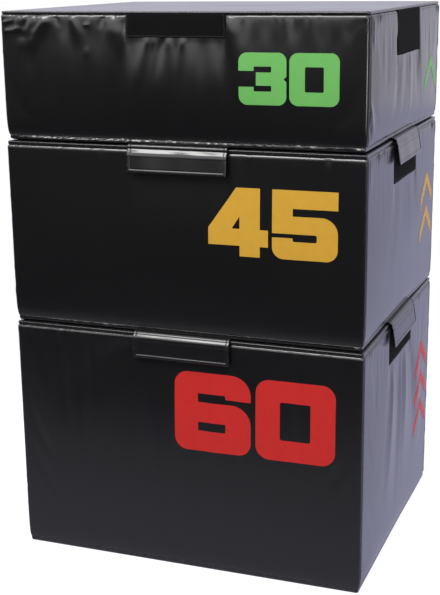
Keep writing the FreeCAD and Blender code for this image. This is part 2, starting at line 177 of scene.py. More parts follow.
class Graph:
    """The node tree of a material, of the world or of a geometry modifier."""

    def __init__(self, tree: bpy.types.NodeTree) -> None:
        """Empties the tree."""
        self.tree = tree
        tree.nodes.clear()

    def node(self, kind: str, settings: dict | None = None, inputs: dict | None = None,
             output: int | str = 0) -> Socket:
        """Adds a node.

        Args:
            kind: The node's type.
            settings: Properties of the node; "stops" are a ramp's positions and colours.
            inputs: Values or sockets by input name or place.
            output: Name or place of the output to give back.

        Returns:
            The chosen output.
        """
        made = self.tree.nodes.new(kind)
        for name, value in (settings or {}).items():
            if name == "stops":
                ramp = made.color_ramp.elements
                while len(ramp) < len(value):
                    ramp.new(1.0)
                for element, (position, colour) in zip(ramp, value):
                    element.position = position
                    element.color = colour
            else:
                setattr(made, name, value)
        for key, value in (inputs or {}).items():
            if isinstance(value, Socket):
                self.tree.links.new(value.output, made.inputs[key])
            else:
                made.inputs[key].default_value = value
        return Socket(self, made.outputs[output])

    def place(self) -> Socket:
        """Object coordinates, in metres."""
        return self.node("ShaderNodeTexCoord", output="Object")

    def attribute(self, name: str) -> Socket:
        """A number kept on the mesh."""
        return self.node("ShaderNodeAttribute", {"attribute_name": name}, output="Fac")

    def noise(self, pitch: float, detail: float = 2.0, rough: float = 0.5) -> Socket:
        """Noise with clumps of about one pitch.

        Args:
            pitch: Size of the clumps in metres.
            detail: Octaves.
            rough: Strength of the finer octaves.

        Returns:
            Values about 0.5.
        """
        inputs = {"Vector": self.place(), "Scale": 1.0 / pitch, "Detail": detail, "Roughness": rough}
        return self.node("ShaderNodeTexNoise", None, inputs)

    def pebbles(self, pitch: float) -> Socket:
        """Rounded grain of one pitch, as embossed on coated fabric."""
        inputs = {"Vector": self.place(), "Scale": 1 / pitch, "Smoothness": PEBBLE_ROUNDNESS}
        return self.node("ShaderNodeTexVoronoi", {"feature": "SMOOTH_F1"}, inputs)

    def bands(self, way: str, scale: float, waver: float = 0.0) -> Socket:
        """Soft bands across one direction.

        Args:
            way: X, Y, Z or DIAGONAL.
            scale: How close the bands are.
            waver: How far they stray from straight lines.

        Returns:
            Values from 0 to 1.
        """
        inputs = {"Vector": self.place(), "Scale": scale, "Distortion": waver}
        return self.node("ShaderNodeTexWave", {"bands_direction": way}, inputs)

    def mix(self, share: Socket | float, first: Socket | tuple, second: Socket | tuple) -> Socket:
        """Blends two colours.

        Args:
            share: 0 for the first colour, 1 for the second.
            first: Colour of four numbers or a socket.
            second: Colour of four numbers or a socket.

        Returns:
            The blended colour.
        """
        settings = {"data_type": "RGBA"}
        return self.node("ShaderNodeMix", settings, {0: share, 6: first, 7: second}, 2)

    def bump(self, height: Socket, depth: float, strength: float = 1.0) -> Socket:
        """A normal from a height.

        Args:
            height: Height in shares of the depth.
            depth: Depth in metres.
            strength: Share of the bump that is used.

        Returns:
            The normal.
        """
        return self.node("ShaderNodeBump", None, {"Strength": strength, "Distance": depth, "Height": height})

    def surface(self, inputs: dict) -> None:
        """Ends a material in a Principled shader with these inputs."""
        shader = self.node("ShaderNodeBsdfPrincipled", None, inputs)
        self.end(shader)

    def end(self, shader: Socket) -> None:
        """Links a shader to the output of the tree."""
        is_world = any(world.node_tree == self.tree for world in bpy.data.worlds)
        kind = "ShaderNodeOutputWorld" if is_world else "ShaderNodeOutputMaterial"
        made = self.tree.nodes.new(kind)
        self.tree.links.new(shader.output, made.inputs["Surface"])


def opaque(colour: tuple) -> tuple:
    """A colour with its alpha."""
    return (*colour, 1.0)


def new_graph(name: str) -> tuple[bpy.types.Material, Graph]:
    """A new material and its empty graph."""
    material = bpy.data.materials.new(name)
    material.use_nodes = True
    return material, Graph(material.node_tree)


# Finishes


@dataclass(frozen=True)
class VinylFinish:
    """Coated fabric: glossy, with a fine pebbled grain and rubbed edges."""

    name: str = "vinyl"
    colour: tuple = (0.0043, 0.0043, 0.0047)
    rubbed: tuple = (0.013, 0.013, 0.014)
    roughness: float = 0.205
    grain_pitch: float = 1.1 * MM
    grain_depth: float = 0.007 * MM
    weave_pitch: float = 0.5 * MM
    handled_pitch: float = 160 * MM
    rubbed_pitch: float = 9 * MM
    ior: float = 1.55

    def material(self) -> bpy.types.Material:
        """Builds the material.

        Returns:
            The new material.
        """
        material, graph = new_graph(self.name)
        pebbles = graph.pebbles(self.grain_pitch)
        weave = graph.noise(self.weave_pitch, 1.0)
        handled = graph.noise(self.handled_pitch, 1.0, 0.4).ease(0.3, 0.75)
        wear = graph.attribute(WEAR_ATTRIBUTE) * graph.noise(self.rubbed_pitch).ease(0.4, 0.75)
        colour = graph.mix(wear, opaque(self.colour), opaque(self.rubbed))
        roughness = self.roughness + 0.02 * handled + 0.1 * wear
        height = pebbles * 0.8 + weave * 0.2
        graph.surface({
            "Base Color": colour, "Roughness": roughness, "IOR": self.ior,
            "Normal": graph.bump(height, self.grain_depth),
        })
        return material


@dataclass(frozen=True)
class LoopFinish:
    """Brushed loop fabric: matte, with a tangled pile."""

    name: str = "loop"
    colour: tuple = (0.0020, 0.0020, 0.0023)
    # painted highlight: a lighter colour laid on the raised tufts of the pile
    tuft_highlight: tuple = (0.0085, 0.0082, 0.0092)
    pile_pitch: float = 1.1 * MM
    pile_depth: float = 0.7 * MM
    brushed_pitch: float = 18 * MM
    sheen: float = 0.012

    def material(self) -> bpy.types.Material:
        """Builds the material.

        Returns:
            The new material.
        """
        material, graph = new_graph(self.name)
        pile = graph.noise(self.pile_pitch, 4.0, 0.7)
        brushed = graph.noise(self.brushed_pitch)
        tuft = pile.ease(0.35, 0.7)
        # painted highlight: the colour lightens where the pile stands highest, more strongly in random
        # brushed patches
        colour = graph.mix(tuft * (0.35 + 0.6 * brushed), opaque(self.colour), opaque(self.tuft_highlight))
        graph.surface({
            "Base Color": colour, "Roughness": 0.9 + 0.08 * tuft, "Sheen Weight": self.sheen,
            "Specular IOR Level": 0.06, "Normal": graph.bump(pile, self.pile_depth),
        })
        return material


@dataclass(frozen=True)
class HookFinish:
    """Moulded hook tape: a ribbed woven ground under stiff plastic hooks."""

    name: str = "hook"
    colour: tuple = (0.012, 0.012, 0.013)
    # painted highlight: a lighter colour laid on the raised ribs of the tape
    ridge: tuple = (0.03, 0.03, 0.032)
    row_scale: float = 155.0
    thread_pitch: float = 0.6 * MM
    depth: float = 0.4 * MM

    def material(self) -> bpy.types.Material:
        """Builds the material.

        Returns:
            The new material.
        """
        material, graph = new_graph(self.name)
        rows = graph.bands("Z", self.row_scale, 0.4)
        threads = graph.noise(self.thread_pitch)
        # painted highlight: the colour lightens where the ribs and threads stand highest
        colour = graph.mix(rows * threads, opaque(self.colour), opaque(self.ridge))
        graph.surface({
            "Base Color": colour, "Roughness": 0.5 + 0.25 * threads,
            "Normal": graph.bump(rows * 0.5 + threads * 0.5, self.depth),
        })
        return material


@dataclass(frozen=True)
class InkFinish:
    """Screen-printed ink on the vinyl: even colour, faint mottling, the grain below showing through."""

    name: str
    colour: tuple
    shade: tuple
    roughness: float = 0.40
    grain_pitch: float = 1.3 * MM
    grain_depth: float = 0.02 * MM
    mottle_pitch: float = 22 * MM
    speckle_pitch: float = 1.2 * MM

    def material(self) -> bpy.types.Material:
        """Builds the material.

        Returns:
            The new material.
        """
        material, graph = new_graph(self.name)
        mottle = graph.noise(self.mottle_pitch, 3.0).ease(0.3, 0.75)
        speckle = graph.noise(self.speckle_pitch).ease(0.62, 0.8)
        colour = graph.mix(0.55 * mottle + 0.25 * speckle, opaque(self.colour), opaque(self.shade))
        graph.surface({
            "Base Color": colour, "Roughness": self.roughness + 0.08 * mottle, "Specular IOR Level": 0.22,
            "Normal": graph.bump(graph.pebbles(self.grain_pitch), self.grain_depth),
        })
        return material


@dataclass(frozen=True)
class ThreadFinish:
    """Bonded sewing thread with its twist."""

    name: str = "thread"
    colour: tuple = (0.016, 0.016, 0.017)
    # painted highlight: a lighter colour laid on the raised crowns of the twist
    crown: tuple = (0.045, 0.045, 0.048)
    twist_scale: float = 420.0
    twist_depth: float = 0.15 * MM

    def material(self) -> bpy.types.Material:
        """Builds the material.

        Returns:
            The new material.
        """
        material, graph = new_graph(self.name)
        twist = graph.bands("DIAGONAL", self.twist_scale, 0.6)
        # painted highlight: the colour lightens along the raised twist
        colour = graph.mix(twist, opaque(self.colour), opaque(self.crown))
        graph.surface({
            "Base Color": colour, "Roughness": 0.45 + 0.2 * twist, "Sheen Weight": 0.1,
            "Normal": graph.bump(twist, self.twist_depth),
        })
        return material


@dataclass(frozen=True)
class TapeFinish:
    """Woven zip tape."""

    name: str = "zip_tape"
    colour: tuple = (0.014, 0.014, 0.015)
    # painted highlight: a lighter colour laid where the weave stands highest
    pick: tuple = (0.036, 0.036, 0.038)
    weave_scale: float = 330.0
    weave_depth: float = 0.2 * MM

    def material(self) -> bpy.types.Material:
        """Builds the material.

        Returns:
            The new material.
        """
        material, graph = new_graph(self.name)
        weave = graph.bands("X", self.weave_scale) * graph.bands("Z", self.weave_scale)
        # painted highlight: the colour lightens on the raised crossings of the weave
        colour = graph.mix(weave, opaque(self.colour), opaque(self.pick))
        graph.surface({
            "Base Color": colour, "Roughness": 0.75 + 0.15 * weave, "Sheen Weight": 0.1,
            "Normal": graph.bump(weave, self.weave_depth),
        })
        return material


@dataclass(frozen=True)
class ZipMetalFinish:
    """Black enamelled zip metal, rubbed bare in small places."""

    name: str = "zip_metal"
    colour: tuple = (0.022, 0.022, 0.024)
    bare: tuple = (0.32, 0.32, 0.34)
    rubbed_pitch: float = 2.5 * MM
    peel_pitch: float = 0.6 * MM
    peel_depth: float = 0.05 * MM

    def material(self) -> bpy.types.Material:
        """Builds the material.

        Returns:
            The new material.
        """
        material, graph = new_graph(self.name)
        rubbed = graph.noise(self.rubbed_pitch, 4.0, 0.65).ease(0.6, 0.72)
        peel = graph.noise(self.peel_pitch)
        graph.surface({
            "Base Color": graph.mix(rubbed, opaque(self.colour), opaque(self.bare)),
            "Metallic": rubbed * 0.9, "Roughness": 0.3 + 0.15 * rubbed,
            "Normal": graph.bump(peel, self.peel_depth),
        })
        return material


@dataclass(frozen=True)
class FoamFinish:
    """Open-cell foam, cut from the block."""

    name: str = "foam"
    colour: tuple = (0.74, 0.72, 0.66)
    # painted shade in the low parts of the cells; the same darker colour also carries the random yellowing
    pit_shade_and_yellowing: tuple = (0.45, 0.43, 0.38)
    cell_scale: float = 700.0
    cell_depth: float = 0.5 * MM
    yellowed_pitch: float = 90 * MM

    def material(self) -> bpy.types.Material:
        """Builds the material.

        Returns:
            The new material.
        """
        material, graph = new_graph(self.name)
        inputs = {"Vector": graph.place(), "Scale": self.cell_scale}
        cells = graph.node("ShaderNodeTexVoronoi", {"feature": "F1"}, inputs)
        yellowed = graph.noise(self.yellowed_pitch)
        # painted shade: a darker colour where the cell bump sinks, mixed with random yellowing from the
        # yellowed noise
        pits = cells.ease(0.15, 0.6)
        graph.surface({
            "Base Color": graph.mix(pits * 0.7 + yellowed * 0.2, opaque(self.colour), opaque(self.pit_shade_and_yellowing)),
            "Roughness": 0.9 + 0.05 * pits, "Normal": graph.bump(1 - cells, self.cell_depth),
        })
        return material


class Palette:
    """Every finish of the set, as materials made once."""

    GREEN = InkFinish("print_green", (0.128, 0.385, 0.098), (0.114, 0.352, 0.085))
    AMBER = InkFinish("print_amber", (0.565, 0.318, 0.038), (0.515, 0.283, 0.032))
    RED = InkFinish("print_red", (0.530, 0.023, 0.021), (0.474, 0.020, 0.018))

    def __init__(self) -> None:
        """Builds the materials."""
        self.vinyl = VinylFinish().material()
        self.loop = LoopFinish().material()
        self.hook = HookFinish().material()
        self.thread = ThreadFinish().material()
        self.tape = TapeFinish().material()
        self.metal = ZipMetalFinish().material()
        self.foam = FoamFinish().material()
        self.ink = {"30": self.GREEN.material(), "45": self.AMBER.material(), "60": self.RED.material()}


PRINT_SLOTS = {"30": "print_green", "45": "print_amber", "60": "print_red"}


# Mesh helpers


def new_piece(name: str, mesh: bpy.types.Mesh, material: bpy.types.Material) -> bpy.types.Object:
    """Puts a mesh into the scene as a smooth piece at the origin.

    Args:
        name: Name of the piece.
        mesh: Its mesh.
        material: Its only material.

    Returns:
        The new object.
    """
    mesh.materials.clear()
    mesh.materials.append(material)
    mesh.shade_smooth()
    piece = bpy.data.objects.new(name, mesh)
    bpy.context.scene.collection.objects.link(piece)
    return piece


def seat(piece: bpy.types.Object, body: str, slot: str, *nodes: str) -> bpy.types.Object:
    """Lets a piece ride on a body and hides the CAD nodes that it stands for.

    Args:
        piece: The finished piece.
        body: The body that it moves with.
        slot: Not used.
        nodes: CAD nodes that it stands for.

    Returns:
        The piece.
    """
    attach(piece, body)
    if nodes:
        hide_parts(*nodes)
    log.info("%s rides on %s with %d faces", piece.name, body, len(piece.data.polygons))
    return piece


def grid_mesh(name: str, points: np.ndarray, closed: bool = False) -> bpy.types.Mesh:
    """A mesh of quads from a grid of points.

    Args:
        name: Name of the mesh.
        points: Points in rows and columns.
        closed: Whether each row is a loop.

    Returns:
        The new mesh.
    """
    rows, columns = points.shape[:2]
    steps = columns if closed else columns - 1
    row, column = np.meshgrid(np.arange(rows - 1), np.arange(steps), indexing="ij")
    after = (column + 1) % columns
    quads = [row * columns + column, row * columns + after, (row + 1) * columns + after,
             (row + 1) * columns + column]
    mesh = bpy.data.meshes.new(name)
    mesh.from_pydata(points.reshape(-1, 3).tolist(), [], np.stack(quads, axis=-1).reshape(-1, 4).tolist())
    mesh.update()
    return mesh


def keep_numbers(mesh: bpy.types.Mesh, name: str, values: np.ndarray) -> None:
    """Keeps one number for each point of a mesh, zero for points past the end of the values."""
    padded_values = np.zeros(len(mesh.vertices), np.float32)
    padded_values[:values.size] = values.ravel()
    mesh.attributes.new(name, "FLOAT", "POINT").data.foreach_set("value", padded_values)


def keep_directions(mesh: bpy.types.Mesh, name: str, values: np.ndarray) -> None:
    """Keeps one direction for each point of a mesh."""
    attribute = mesh.attributes.new(name, "FLOAT_VECTOR", "POINT")
    attribute.data.foreach_set("vector", values.astype(np.float32).ravel())


def thicken(piece: bpy.types.Object, thickness: float, offset: float = -1.0) -> None:
    """Gives a sheet its thickness, inwards unless the offset says otherwise."""
    wall = piece.modifiers.new("thickness", "SOLIDIFY")
    wall.thickness = thickness
    wall.offset = offset
    settle(piece)


def settle(piece: bpy.types.Object) -> None:
    """Turns a piece's modifiers into plain mesh."""
    depsgraph = bpy.context.evaluated_depsgraph_get()
    mesh = bpy.data.meshes.new_from_object(piece.evaluated_get(depsgraph), depsgraph=depsgraph)
    old = piece.data
    piece.modifiers.clear()
    piece.data = mesh
    mesh.name = old.name
    bpy.data.meshes.remove(old)


def tree_of(piece: bpy.types.Object) -> BVHTree:
    """A search tree of a piece's faces."""
    mesh = piece.data
    return BVHTree.FromPolygons([v.co for v in mesh.vertices], [p.vertices for p in mesh.polygons])


def graded(low: float, high: float, fine: float, coarse: float, zone: float) -> np.ndarray:
    """Positions from low to high that are close together near both ends.

    Args:
        low: First position.
        high: Last position.
        fine: Step near the ends.
        coarse: Step in the middle.
        zone: Length of each fine stretch.

    Returns:
        The positions in order.
    """
    zone = min(zone, (high - low) / 3)
    ends = max(2, round(zone / fine))
    middle = max(2, round((high - low - 2 * zone) / coarse))
    return np.concatenate([
        np.linspace(low, low + zone, ends, endpoint=False),
        np.linspace(low + zone, high - zone, middle, endpoint=False),
        np.linspace(high - zone, high, ends + 1),
    ])


# Folds and gathers of the fabric

# Shares of a fold's length over which it comes up and dies away
FOLD_START = (-0.08, 0.14)
FOLD_END = (0.1, 1.0)

# Spreads of the gathers' heights, widths and reaches
GATHER_HEIGHTS = (0.1, 0.7)
GATHER_WIDTHS = (0.6, 1.5)
GATHER_REACHES = (2.0, 0.5)

# Smooth random waves
RIPPLE_WAVES = 9
PANEL_WAVES = 10
PANEL_WAVE_LENGTHS = (0.24, 0.75)
PATCHY_SPREAD = 0.6


@dataclass(frozen=True)
class Fold:
    """A ridge that fans out from its start: lengths along a wall from its middle, heights over its base."""

    start: tuple
    end: tuple
    width: float
    height: float
    fan: float = 2.2

    def rise(self, s: np.ndarray, h: np.ndarray) -> np.ndarray:
        """How far the fold lifts the fabric.

        Args:
            s: Lengths along the wall.
            h: Heights over the base.

        Returns:
            Lift in metres.
        """
        along = np.subtract(self.end, self.start)
        length = math.hypot(*along)
        share = ((s - self.start[0]) * along[0] + (h - self.start[1]) * along[1]) / length ** 2
        off = ((s - self.start[0]) * along[1] - (h - self.start[1]) * along[0]) / length
        width = self.width * (1 + (self.fan - 1) * np.clip(share, 0, 1))
        taper = smooth_step(share, *FOLD_START) * (1 - smooth_step(share, *FOLD_END))
        return self.height * taper * np.exp(-(off / width) ** 2)


def hand_folds(*rows: tuple) -> tuple:
    """Folds from rows of millimetres.

    Args:
        rows: Start, end, width, height and, where it isn't the usual one, fan of each fold.

    Returns:
        The folds in metres.
    """
    folds = []
    for (s_start, h_start), (s_end, h_end), width, height, *fan in rows:
        start, end = (s_start * MM, h_start * MM), (s_end * MM, h_end * MM)
        folds.append(Fold(start, end, width * MM, height * MM, *fan))
    return tuple(folds)


@dataclass(frozen=True)
class Gathers:
    """Small puckers that start at a seam and die away from it."""

    pitch: float
    depth: float
    reach: float
    width: float
    slant: float = 0.35

    def rise(self, draws: np.random.Generator, s: np.ndarray, t: np.ndarray, low: float,
             high: float) -> np.ndarray:
        """How far the gathers lift the fabric.

        Args:
            draws: Source of seeded random numbers.
            s: Lengths along the seam.
            t: Distances from the seam.
            low: Start of the seam.
            high: End of the seam.

        Returns:
            Lift in metres.
        """
        lift = np.zeros(np.broadcast(s, t).shape)
        for place in np.arange(low, high, self.pitch):
            centre = place + self.pitch * draws.uniform(-0.5, 0.5)
            height = self.depth * draws.normal(*GATHER_HEIGHTS)
            width = self.width * draws.uniform(*GATHER_WIDTHS)
            reach = self.reach * draws.gamma(*GATHER_REACHES)
            slant = self.slant * draws.normal()
            lift += height * np.exp(-((s - centre - slant * t) / width) ** 2 - t / reach)
        return lift


def ripple(draws: np.random.Generator, s: np.ndarray, waves: tuple,
           height: float | np.ndarray) -> np.ndarray:
    """A smooth random wave along a line.

    Args:
        draws: Source of seeded random numbers.
        s: Lengths along the line.
        waves: Shortest and longest wavelength.
        height: Typical height.

    Returns:
        Heights about zero.
    """
    lengths = np.geomspace(waves[0], waves[1], RIPPLE_WAVES)
    phases = draws.uniform(0, 2 * np.pi, RIPPLE_WAVES)
    total = sum(np.sin(2 * np.pi * s / length + phase) for length, phase in zip(lengths, phases))
    return height * total / math.sqrt(RIPPLE_WAVES / 2)


def patchiness(draws: np.random.Generator, s: np.ndarray, waves: tuple, middle: float,
               limits: tuple) -> np.ndarray:
    """How strongly the fabric puckers along a seam, here more and there less.

    Args:
        draws: Source of seeded random numbers.
        s: Lengths along the seam.
        waves: Shortest and longest wavelength.
        middle: Usual share of the pucker.
        limits: Least and greatest share.

    Returns:
        Shares of the full pucker.
    """
    return np.clip(middle + ripple(draws, s, waves, PATCHY_SPREAD), *limits)


def undulation(draws: np.random.Generator, s: np.ndarray, h: np.ndarray, height: float) -> np.ndarray:
    """Large shallow waves all over a panel.

    Args:
        draws: Source of seeded random numbers.
        s: Lengths along the panel.
        h: Lengths across the panel.
        height: Typical height.

    Returns:
        Heights about zero.
    """
    total = np.zeros(np.broadcast(s, h).shape)
    for _ in range(PANEL_WAVES):
        length = draws.uniform(*PANEL_WAVE_LENGTHS)
        angle = draws.uniform(0, np.pi)
        phase = draws.uniform(0, 2 * np.pi)
        total += np.cos(2 * np.pi * (s * math.cos(angle) + h * math.sin(angle)) / length + phase)
    return height * total / math.sqrt(PANEL_WAVES / 2)


def spline(marks: np.ndarray, steps: int) -> np.ndarray:
    """A smooth line through marks.

    Args:
        marks: Points in rows.
        steps: Points for each stretch between two marks.

    Returns:
        Points along the line, the first and last mark included.
    """
    wide = np.vstack([2 * marks[0] - marks[1], marks, 2 * marks[-1] - marks[-2]])
    chords = np.diff(wide, axis=0)
    lengths = np.linalg.norm(chords, axis=1)[:, None]
    ways = chords / lengths
    tangents = (ways[:-1] * lengths[1:] + ways[1:] * lengths[:-1]) / (lengths[:-1] + lengths[1:])
    line = []
    for start, chord, length, leave, arrive in zip(marks, chords[1:], lengths[1:], tangents, tangents[1:]):
        for share in np.arange(steps) / steps:
            line.append(start + chord * share ** 2 * (3 - 2 * share)
                        + length * (leave * share * (1 - share) ** 2 - arrive * share ** 2 * (1 - share)))
    return np.array(line + [marks[-1]])


def smooth_step(value: np.ndarray, low: float, high: float | np.ndarray) -> np.ndarray:
    """A smooth step from 0 at low to 1 at high."""
    share = np.clip((value - low) / (high - low), 0, 1)
    return share * share * (3 - 2 * share)


def patch_node(label: str, side: Side) -> str:
    """The CAD node that holds the loop patch of a wall and the one opposite."""
    return "loop_patches_%s_%s" % ("front_back" if side.wraps else "sides", label)


def patch_outline(label: str, side: Side) -> tuple[float, float, float]:
    """Half width, lowest and highest height of a loop patch, from the frame.

    Args:
        label: The box's height in centimetres.
        side: The wall.

    Returns:
        The three lengths.
    """
    low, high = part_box(patch_node(label, side))
    return (high.x if side.wraps else high.y), low.z, high.z


# Covers

# Grids of the panels: step near the seams, step elsewhere and length of the fine stretches
WALL_ACROSS = (2.5 * MM, 4.5 * MM, 45 * MM)
WALL_UP = (1.6 * MM, 10 * MM)
LOOP_STEP = 4.5 * MM
CORNER_POINTS = 12
TOP_RINGS = (0.99, 0.97, 0.94, 0.9, 0.8, 0.69, 0.57, 0.45, 0.33, 0.21, 0.09)
BASE_RINGS = (0.98, 0.9, 0.5, 0.06)

# How much less the walls without corners pucker and slacken
SIDE_EASE = 0.12
SIDE_SLACK = 0.35

# How far from a seam or a patch each form of a wall reaches
DRAWN_BELOW_PATCH = 170 * MM
PRESSED_SPREAD = 0.5
HEM_DRAW_FADE = (-0.8, -0.1)
HEM_DRAW_REACH = 14 * MM
LIP_OVER_HEM = 18 * MM
PILLOW_BELOW_TOP = 38 * MM
PILLOW_OVER_HEM = 70 * MM
PILLOW_FROM_CORNER = 80 * MM
CORNER_GATHER_REACH = 30 * MM
SLACK_FROM_SEAM = 90 * MM
WEAR_REACH = 7 * MM

# Unevenness along the seams
LIP_SHARE = 0.85
LIP_WAVES = (9 * MM, 70 * MM)
LIP_UNEVEN = 0.3
LIP_LIMITS = (-0.7, 1.1)
BROAD_WAVES = (90 * MM, 420 * MM)
WALL_PATCHY = (0.55, (0.05, 1.7))
END_PATCHY = (0.6, (0.1, 1.8))
FRILL_WAVES = (7 * MM, 30 * MM)
FRILL_PATCHY = (0.6, (0.05, 1.7))
FRILL_LEAST = 0.1 * MM

# Turned edge of a top: offset and height over the seam where it comes out, then where it stands free
SEAM_TURN = ((-SEAM_TUCK, 0.0), (-SEAM_GROOVE, 0.3 * MM), (-0.9 * MM, 0.6 * MM))
TURN_START = 1.2 * MM
TURN_HOLLOW = 0.5 * MM
TURN_POINTS = 5
TURN_WEAR = (7 * MM, 8 * MM)
ROLL_START = 0.16
TOP_ROLL_POINTS = 9
BASE_ROLL_POINTS = 8

# Flat of a top
FLAT_WAVE = 0.5 * MM
FLAT_CALM = 0.3

# Hem of a base: drops below the seam where it comes out; its stitch as depth, share of the frill and width
HEM_TURN = (0.3 * MM, 0.4 * MM, 0.7 * MM)
HEM_POINTS = 12
HEM_TUCKED = 0.6
HEM_TUCK_REACH = 1.6 * MM
HEM_STITCH = (0.1 * MM, 0.3, 1.0 * MM)
HEM_END = 0.3 * MM

# Seeds of the panels
END_SEED = 7
FRILL_SEED = 11
FLAT_SEED = 90
PATCH_SEED = 40

# Distance from which a point is dropped on to a cover
PROBE = 0.05

# Stitches of the covers: half length, half width and half height
STITCH_PITCH = 5.5 * MM
STITCH_SIZE = (2.1 * MM, 0.5 * MM, 0.4 * MM)
STITCH_LIFT = 0.1 * MM

CORNER_GATHERS = Gathers(21 * MM, 1.0 * MM, 16 * MM, 6 * MM)
RIM_GATHERS = Gathers(17 * MM, 0.3 * MM, 9 * MM, 5 * MM)


@dataclass(frozen=True)
class SewnLook:
    """How taut and how puckered the cover of one box is.

    Rolls are the depth and the height of a turned edge. The lip is how far the walls stand out below the
    top seam, the pillow how far they swell below that, and the pucker zone how far from the seams they
    pucker. Frills are puckered stretches of the front hem: middle along the front, half length and height.
    """

    seed: int
    corner: float
    top_roll: tuple
    base_roll: tuple
    seam_drop: float
    top_rise: float
    lip: float
    pillow: float
    slack: float
    sag: float
    pucker_zone: float
    hem_draw: float
    hem_groove: float
    top_gathers: Gathers
    hem_gathers: Gathers
    frills: tuple = ()
    folds: dict = field(default_factory=dict)


@dataclass
class BoxCover:
    """The sewn vinyl cover of one box: top, base and four walls."""

    label: str
    look: SewnLook
    vinyl: bpy.types.Material
    wall_trees: dict = field(default_factory=dict)

    def __post_init__(self) -> None:
        """Takes the sizes of the box from the frame."""
        base_low, base_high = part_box("base_panel_" + self.label)
        self.half_width = base_high.x
        self.half_depth = base_high.y
        self.base = base_low.z
        self.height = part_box("top_panel_" + self.label)[1].z - base_low.z

    @property
    def body(self) -> str:
        """The body that the cover rides on."""
        return "box_" + self.label

    @property
    def top_seam(self) -> float:
        """Height of the seam below the turned edge of the top."""
        return self.height + self.look.top_rise - self.look.seam_drop

    def halves(self, side: Side) -> tuple[float, float]:
        """Distance of a wall plane from the middle, and half the length of that wall."""
        sizes = (self.half_depth, self.half_width)
        return sizes if side.wraps else sizes[::-1]

    def wall_end(self, side: Side) -> float:
        """Length along a wall from its middle to its vertical seam."""
        reach = self.halves(side)[1] - self.look.corner
        if side.wraps:
            return reach + self.look.corner * math.pi / 2 + SEAM_PAST_CORNER
        return reach - SEAM_PAST_CORNER

    def path(self, side: Side, s: np.ndarray) -> tuple[np.ndarray, np.ndarray]:
        """Follows a wall and its round corners in plan.

        Args:
            side: The wall.
            s: Lengths along the wall from its middle.

        Returns:
            Points at height zero, and the outward directions there.
        """
        half, reach = self.halves(side)
        flat = reach - self.look.corner
        way = np.sign(s)
        bend = np.clip((np.abs(s) - flat) / self.look.corner, 0, np.pi / 2)
        past = np.maximum(np.abs(s) - flat - self.look.corner * np.pi / 2, 0)
        x = way * (np.minimum(np.abs(s), flat) + self.look.corner * np.sin(bend))
        y = -half + self.look.corner * (1 - np.cos(bend)) + past
        points = np.stack([x, y, np.zeros_like(x)], axis=-1)
        out = np.stack([way * np.sin(bend), -np.cos(bend), np.zeros_like(x)], axis=-1)
        return side.turned(points), side.turned(out)

    def drawn_in(self, y: np.ndarray) -> np.ndarray:
        """How far the hem pulls the cover in; nothing at the back, where the zip lies."""
        low, high = (share * self.half_depth for share in HEM_DRAW_FADE)
        return self.look.hem_draw * smooth_step(-y, low, high)

    def shell(self, side: Side, s: np.ndarray, h: np.ndarray, y: np.ndarray) -> np.ndarray:
        """The taut form of a wall without its small folds.

        Args:
            side: The wall.
            s: Lengths along it from its middle.
            h: Heights over the base.
            y: Depth of the same points in plan.

        Returns:
            How far the cover stands out from the wall plane.
        """
        flat = self.halves(side)[1] - self.look.corner
        middle = (HEM_HEIGHT + self.top_seam) / 2
        reach = (self.top_seam - HEM_HEIGHT) / 2
        crown = np.clip(1 - (s / flat) ** 2, 0, 1) * np.clip(1 - ((h - middle) / reach) ** 2, 0, 1) ** 2
        over_hem = np.maximum(h - HEM_HEIGHT, 0)
        roll = ROLL_UNDER_PATCH
        top = np.clip(h - (self.height - roll), 0, roll)
        turned = np.sqrt(roll ** 2 - top ** 2) - roll
        crown *= WALL_CROWN if side.wraps else SIDE_CROWN
        return crown - self.drawn_in(y) * np.exp(-over_hem / HEM_DRAW_REACH) + turned

    def pressed(self, side: Side, s: np.ndarray, z: np.ndarray, below: float = PRESSED_MARGIN) -> np.ndarray:
        """Where a loop patch holds the cover flat.

        Args:
            side: The wall.
            s: Lengths along it from its middle.
            z: Heights in the set.
            below: How far below the patch its hold fades.

        Returns:
            1 under the patch, 0 away from it.
        """
        half, low, _ = patch_outline(self.label, side)
        spread = PRESSED_SPREAD * np.clip(low - z, 0, below)
        across = smooth_step(half + PRESSED_MARGIN + spread - np.abs(s), 0, PRESSED_MARGIN + 2 * spread)
        return across * smooth_step(z - low + below, 0, below)

    def from_seams(self, side: Side, s: np.ndarray, h: np.ndarray) -> tuple:
        """Distances from the top seam, the hem and the nearer vertical seam of a wall."""
        return self.top_seam - h, h - HEM_HEIGHT, self.wall_end(side) - np.abs(s)

    def wall_rise(self, side: Side, s: np.ndarray, h: np.ndarray, y: np.ndarray) -> np.ndarray:
        """The whole form of a wall: taut shell, fullness below the top, puckers, slack, folds and seams.

        Args:
            side: The wall.
            s: Lengths along it from its middle.
            h: Heights over the base.
            y: Depth of the same points in plan.

        Returns:
            How far the cover stands out from the wall plane.
        """
        look = self.look
        draws = np.random.default_rng(look.seed + side.value)
        end = self.wall_end(side)
        from_top, from_hem, from_end = self.from_seams(side, s, h)
        free = 1 - self.pressed(side, s, self.base + h)
        drawn = 1 - self.pressed(side, s, self.base + h, DRAWN_BELOW_PATCH)
        ease = 1.0 if side.wraps else SIDE_EASE

